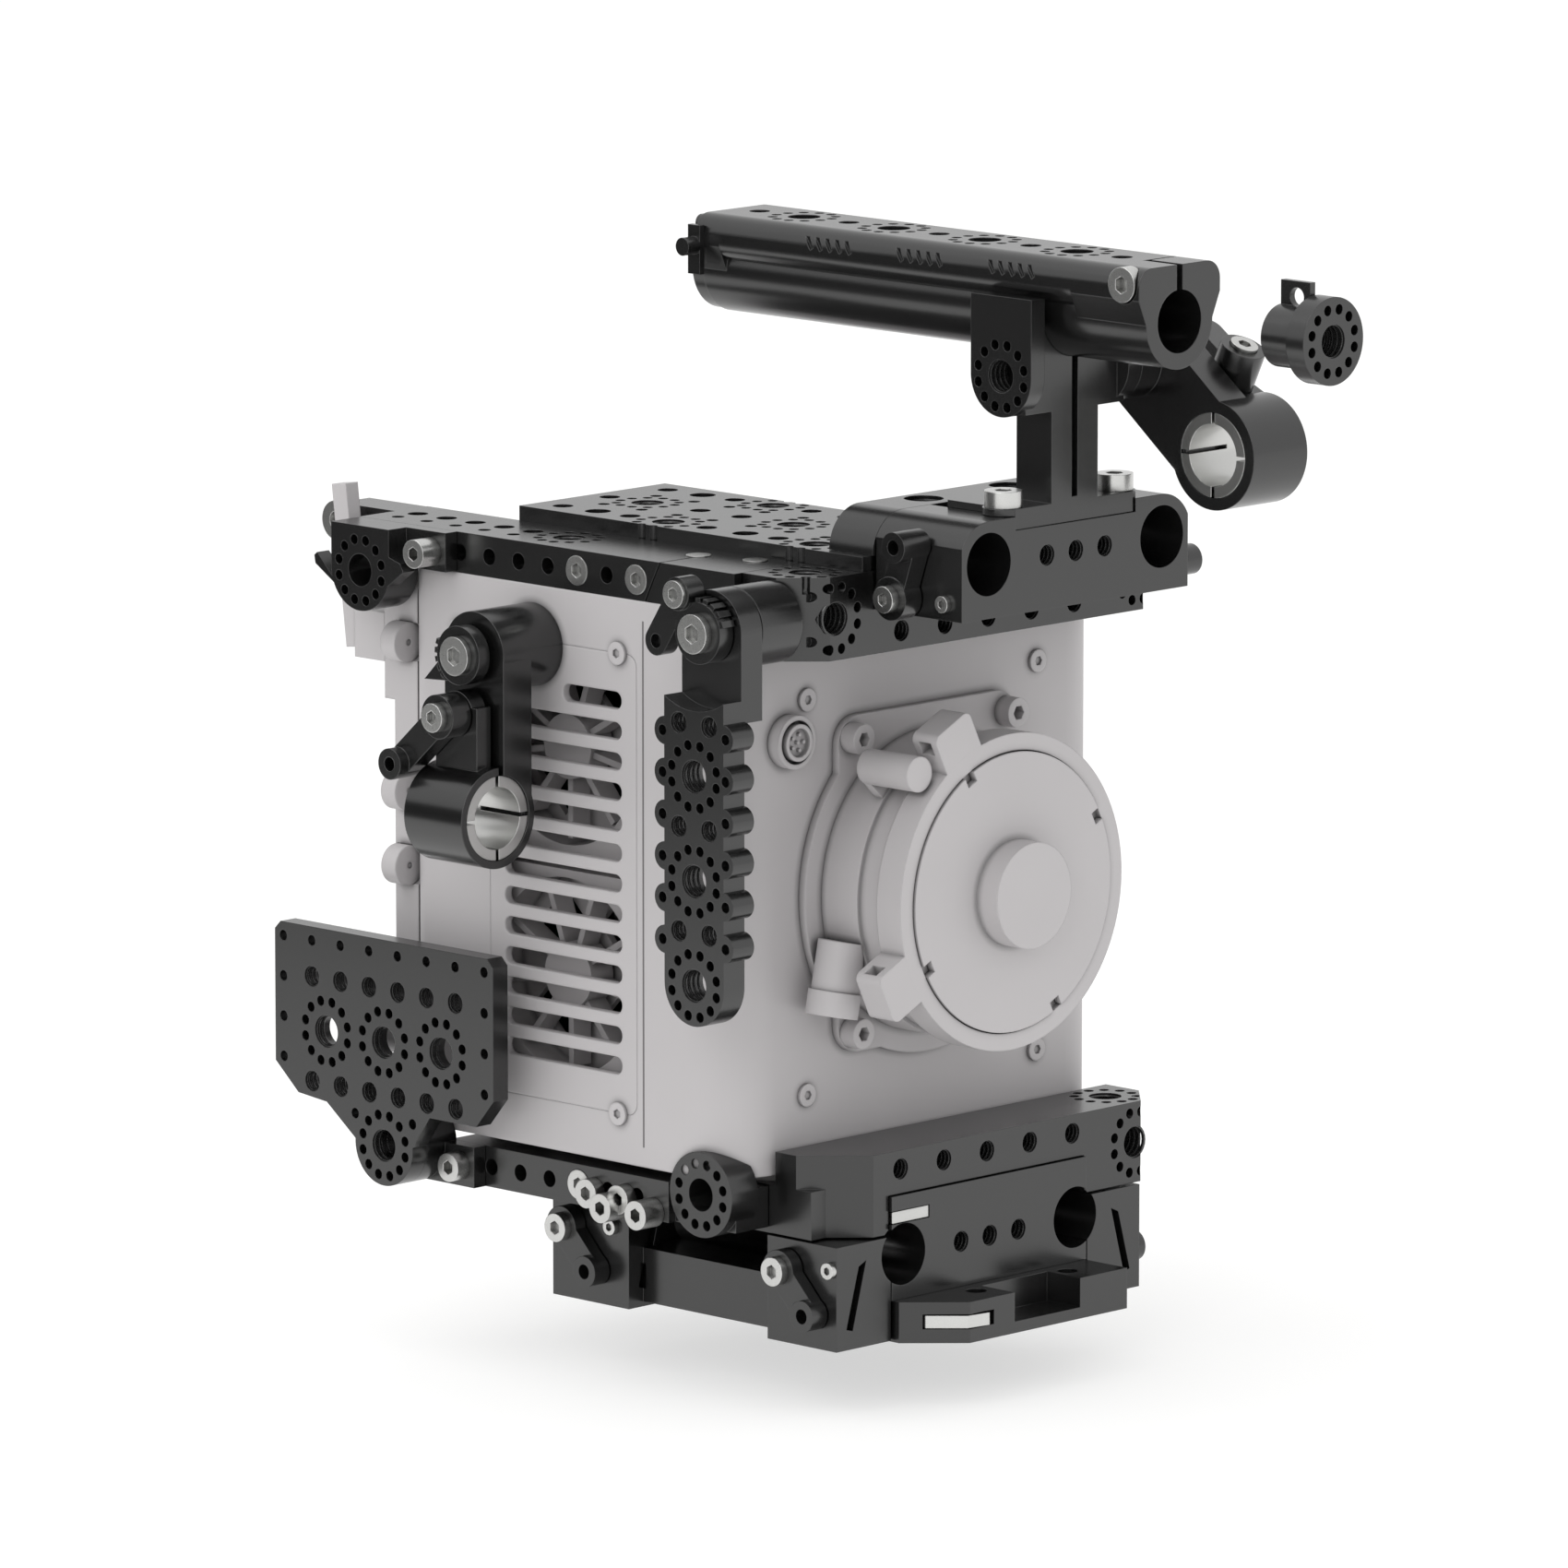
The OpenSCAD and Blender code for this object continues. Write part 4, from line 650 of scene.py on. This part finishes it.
@dataclass
class ClampArms:
    """The two arms with their split bushes, levers and knobs."""

    black: list[str] = field(default_factory=lambda: [
        "arm_right", "arm_right_lever", "arm_left", "arm_left_lever", "arm_left_knob"])
    bushes: list[str] = field(default_factory=lambda: ["arm_right_bush", "arm_left_bush"])
    screws: list[str] = field(default_factory=lambda: ["arm_right_screws", "arm_left_screws"])

    def build(self, nodes: dict) -> None:
        """Dresses both arms.

        Args:
            nodes: the CAD nodes by name.
        """
        for name in self.black:
            dress(nodes[name], SATIN_ANODISE)
        for name in self.bushes:
            dress(nodes[name], BARE_BUSH)
        for name in self.screws:
            dress(nodes[name], STAINLESS)
        LOG.info("arms dressed")


@dataclass
class HangingBracket:
    """Spacer, scalloped plate and its lever."""

    face_x: float = -90.0
    middle_y: float = -34.0
    rosettes_z: tuple[float, ...] = (143.0, 118.0, 93.0)
    pair_half: float = 5.0
    pairs_z: tuple[float, ...] = (155.4, 130.6, 105.6)

    def build(self, nodes: dict, cutter: ThreadCutter) -> None:
        """Dresses the bracket and cuts its threads.

        Args:
            nodes: the CAD nodes by name.
            cutter: cuts the threads.
        """
        for name in ("hanger_plate", "hanger_lever"):
            dress(nodes[name], BLACK_ANODISE)
        dress(nodes["hanger_barrel"], SATIN_ANODISE)
        dress(nodes["hanger_screws"], STAINLESS)
        cutter.cut("hanger", "hanger_rosette_threads",
                   [(self.face_x, self.middle_y, z) for z in self.rosettes_z],
                   Facing.LEFT, ROSETTE_THREAD, 4)
        cutter.cut("hanger", "hanger_quarter_threads",
                   [(self.face_x, self.middle_y + self.pair_half * side, z)
                    for z in self.pairs_z for side in (-1, 1)],
                   Facing.LEFT, QUARTER_THREAD, 4)
        LOG.info("hanging bracket dressed")


@dataclass
class RodBase:
    """Rod bridge, base plate, jaws and levers."""

    black: list[str] = field(default_factory=lambda: [
        "rod_bridge", "base_plate", "base_clamps", "base_lever_front", "base_lever_rear",
        "base_lever_right"])
    bridge_front_y: float = -45.0
    row_z: float = 21.0
    row_pitch: float = 10.0

    def build(self, nodes: dict, cutter: ThreadCutter) -> None:
        """Dresses the base and cuts its threads.

        Args:
            nodes: the CAD nodes by name.
            cutter: cuts the threads.
        """
        for name in self.black:
            dress(nodes[name], BLACK_ANODISE)
        dress(nodes["plate_latch"], STAINLESS)
        cutter.cut("root", "bridge_row_threads",
                   [(self.row_pitch * i, self.bridge_front_y, self.row_z) for i in (-1, 0, 1)],
                   Facing.FRONT, QUARTER_THREAD, 8)
        LOG.info("base dressed")


# ---------- studio ----------


@dataclass(frozen=True)
class Lamp:
    """A soft square lamp, in metres and watts."""

    name: str
    place: Point
    size: float
    power: float


@dataclass
class Studio:
    """Floor, light, card and camera, in metres and degrees."""

    floor_size: float = 60.0
    floor_drop: float = 0.016
    floor_glow: float = 0.58
    air_strength: float = 0.92
    lamps: tuple[Lamp, ...] = (
        Lamp("soft_key", (-1.2, 0.5, 2.4), 1.8, 16.0),
        Lamp("soft_fill", (-2.6, -1.4, 1.6), 1.4, 12.0))
    lamps_look_at: Point = (0.0, 0.0, 0.1)
    card_at: Point = (-0.62, 0.5, 0.12)
    card_size: tuple[float, float] = (1.3, 0.34)
    card_turn: float = 45.0
    camera_at: Point = (-2.25739, -2.18168, 0.67546)
    azimuth: float = -45.66
    elevation: float = 9.93
    lens_mm: float = 302.59
    sensor_mm: float = 36.0
    clip: tuple[float, float] = (0.1, 200.0)

    def build(self) -> None:
        """Sets the floor, the light, the card and the camera."""
        self.floor()
        self.lights()
        self.card()
        self.camera()
        bpy.context.scene.view_settings.view_transform = "Standard"
        LOG.info("studio ready")

    def floor(self) -> None:
        """Lays the pale floor under the rig."""
        deselect()
        bpy.ops.mesh.primitive_plane_add(size=self.floor_size, location=(0, 0, -self.floor_drop))
        floor = settle(bpy.context.object, "studio_floor")
        dress(floor, STUDIO_PAPER)
        # A lit table: it glows a little of its own, so shadows on it stay faint.
        glow = STUDIO_PAPER.material().node_tree.nodes["Principled BSDF"]
        glow.inputs["Emission Color"].default_value = (1, 1, 1, 1)
        glow.inputs["Emission Strength"].default_value = self.floor_glow

    def lights(self) -> None:
        """Adds an even white surround and the soft lamps."""
        world = bpy.data.worlds.new("studio_air")
        bpy.context.scene.world = world
        world.use_nodes = True
        back = world.node_tree.nodes["Background"]
        back.inputs["Color"].default_value = (1, 1, 1, 1)
        back.inputs["Strength"].default_value = self.air_strength
        for lamp in self.lamps:
            data = bpy.data.lights.new(lamp.name, "AREA")
            data.size = lamp.size
            data.energy = lamp.power
            light = bpy.data.objects.new(lamp.name, data)
            bpy.context.collection.objects.link(light)
            light.location = lamp.place
            aim(light, Vector(self.lamps_look_at) - Vector(lamp.place))

    def card(self) -> None:
        """Stands a grey card behind the rig's left, so that its left faces mirror a dimmer wall."""
        deselect()
        bpy.ops.mesh.primitive_plane_add(size=1.0, location=self.card_at)
        card = bpy.context.object
        card.scale = (*self.card_size, 1.0)
        card.rotation_euler = (math.radians(90), 0.0, math.radians(self.card_turn))
        settle(card, "studio_flag")
        dress(card, STUDIO_FELT)
        card.visible_camera = False
        card.visible_diffuse = False
        card.visible_shadow = False

    def camera(self) -> None:
        """Sets the camera that looks at the rig from its front left."""
        data = bpy.data.cameras.new("studio_camera")
        data.sensor_width = self.sensor_mm
        data.lens = self.lens_mm
        data.clip_start, data.clip_end = self.clip
        eye = bpy.data.objects.new("studio_camera", data)
        bpy.context.collection.objects.link(eye)
        a, e = math.radians(self.azimuth), math.radians(self.elevation)
        eye.location = self.camera_at
        aim(eye, -Vector((math.sin(a) * math.cos(e), -math.cos(a) * math.cos(e), math.sin(e))))
        bpy.context.scene.camera = eye


def main() -> None:
    """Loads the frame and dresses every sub-assembly."""
    logging.basicConfig(level=logging.INFO)
    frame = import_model()
    nodes = frame["nodes"]
    cutter = ThreadCutter()
    CameraBody().build(nodes)
    LensPort().build(nodes)
    Cage().build(nodes, cutter)
    TopHandle().build(nodes, cutter)
    ClampArms().build(nodes)
    HangingBracket().build(nodes, cutter)
    RodBase().build(nodes, cutter)
    Studio().build()


if __name__ == "__main__":
    main()
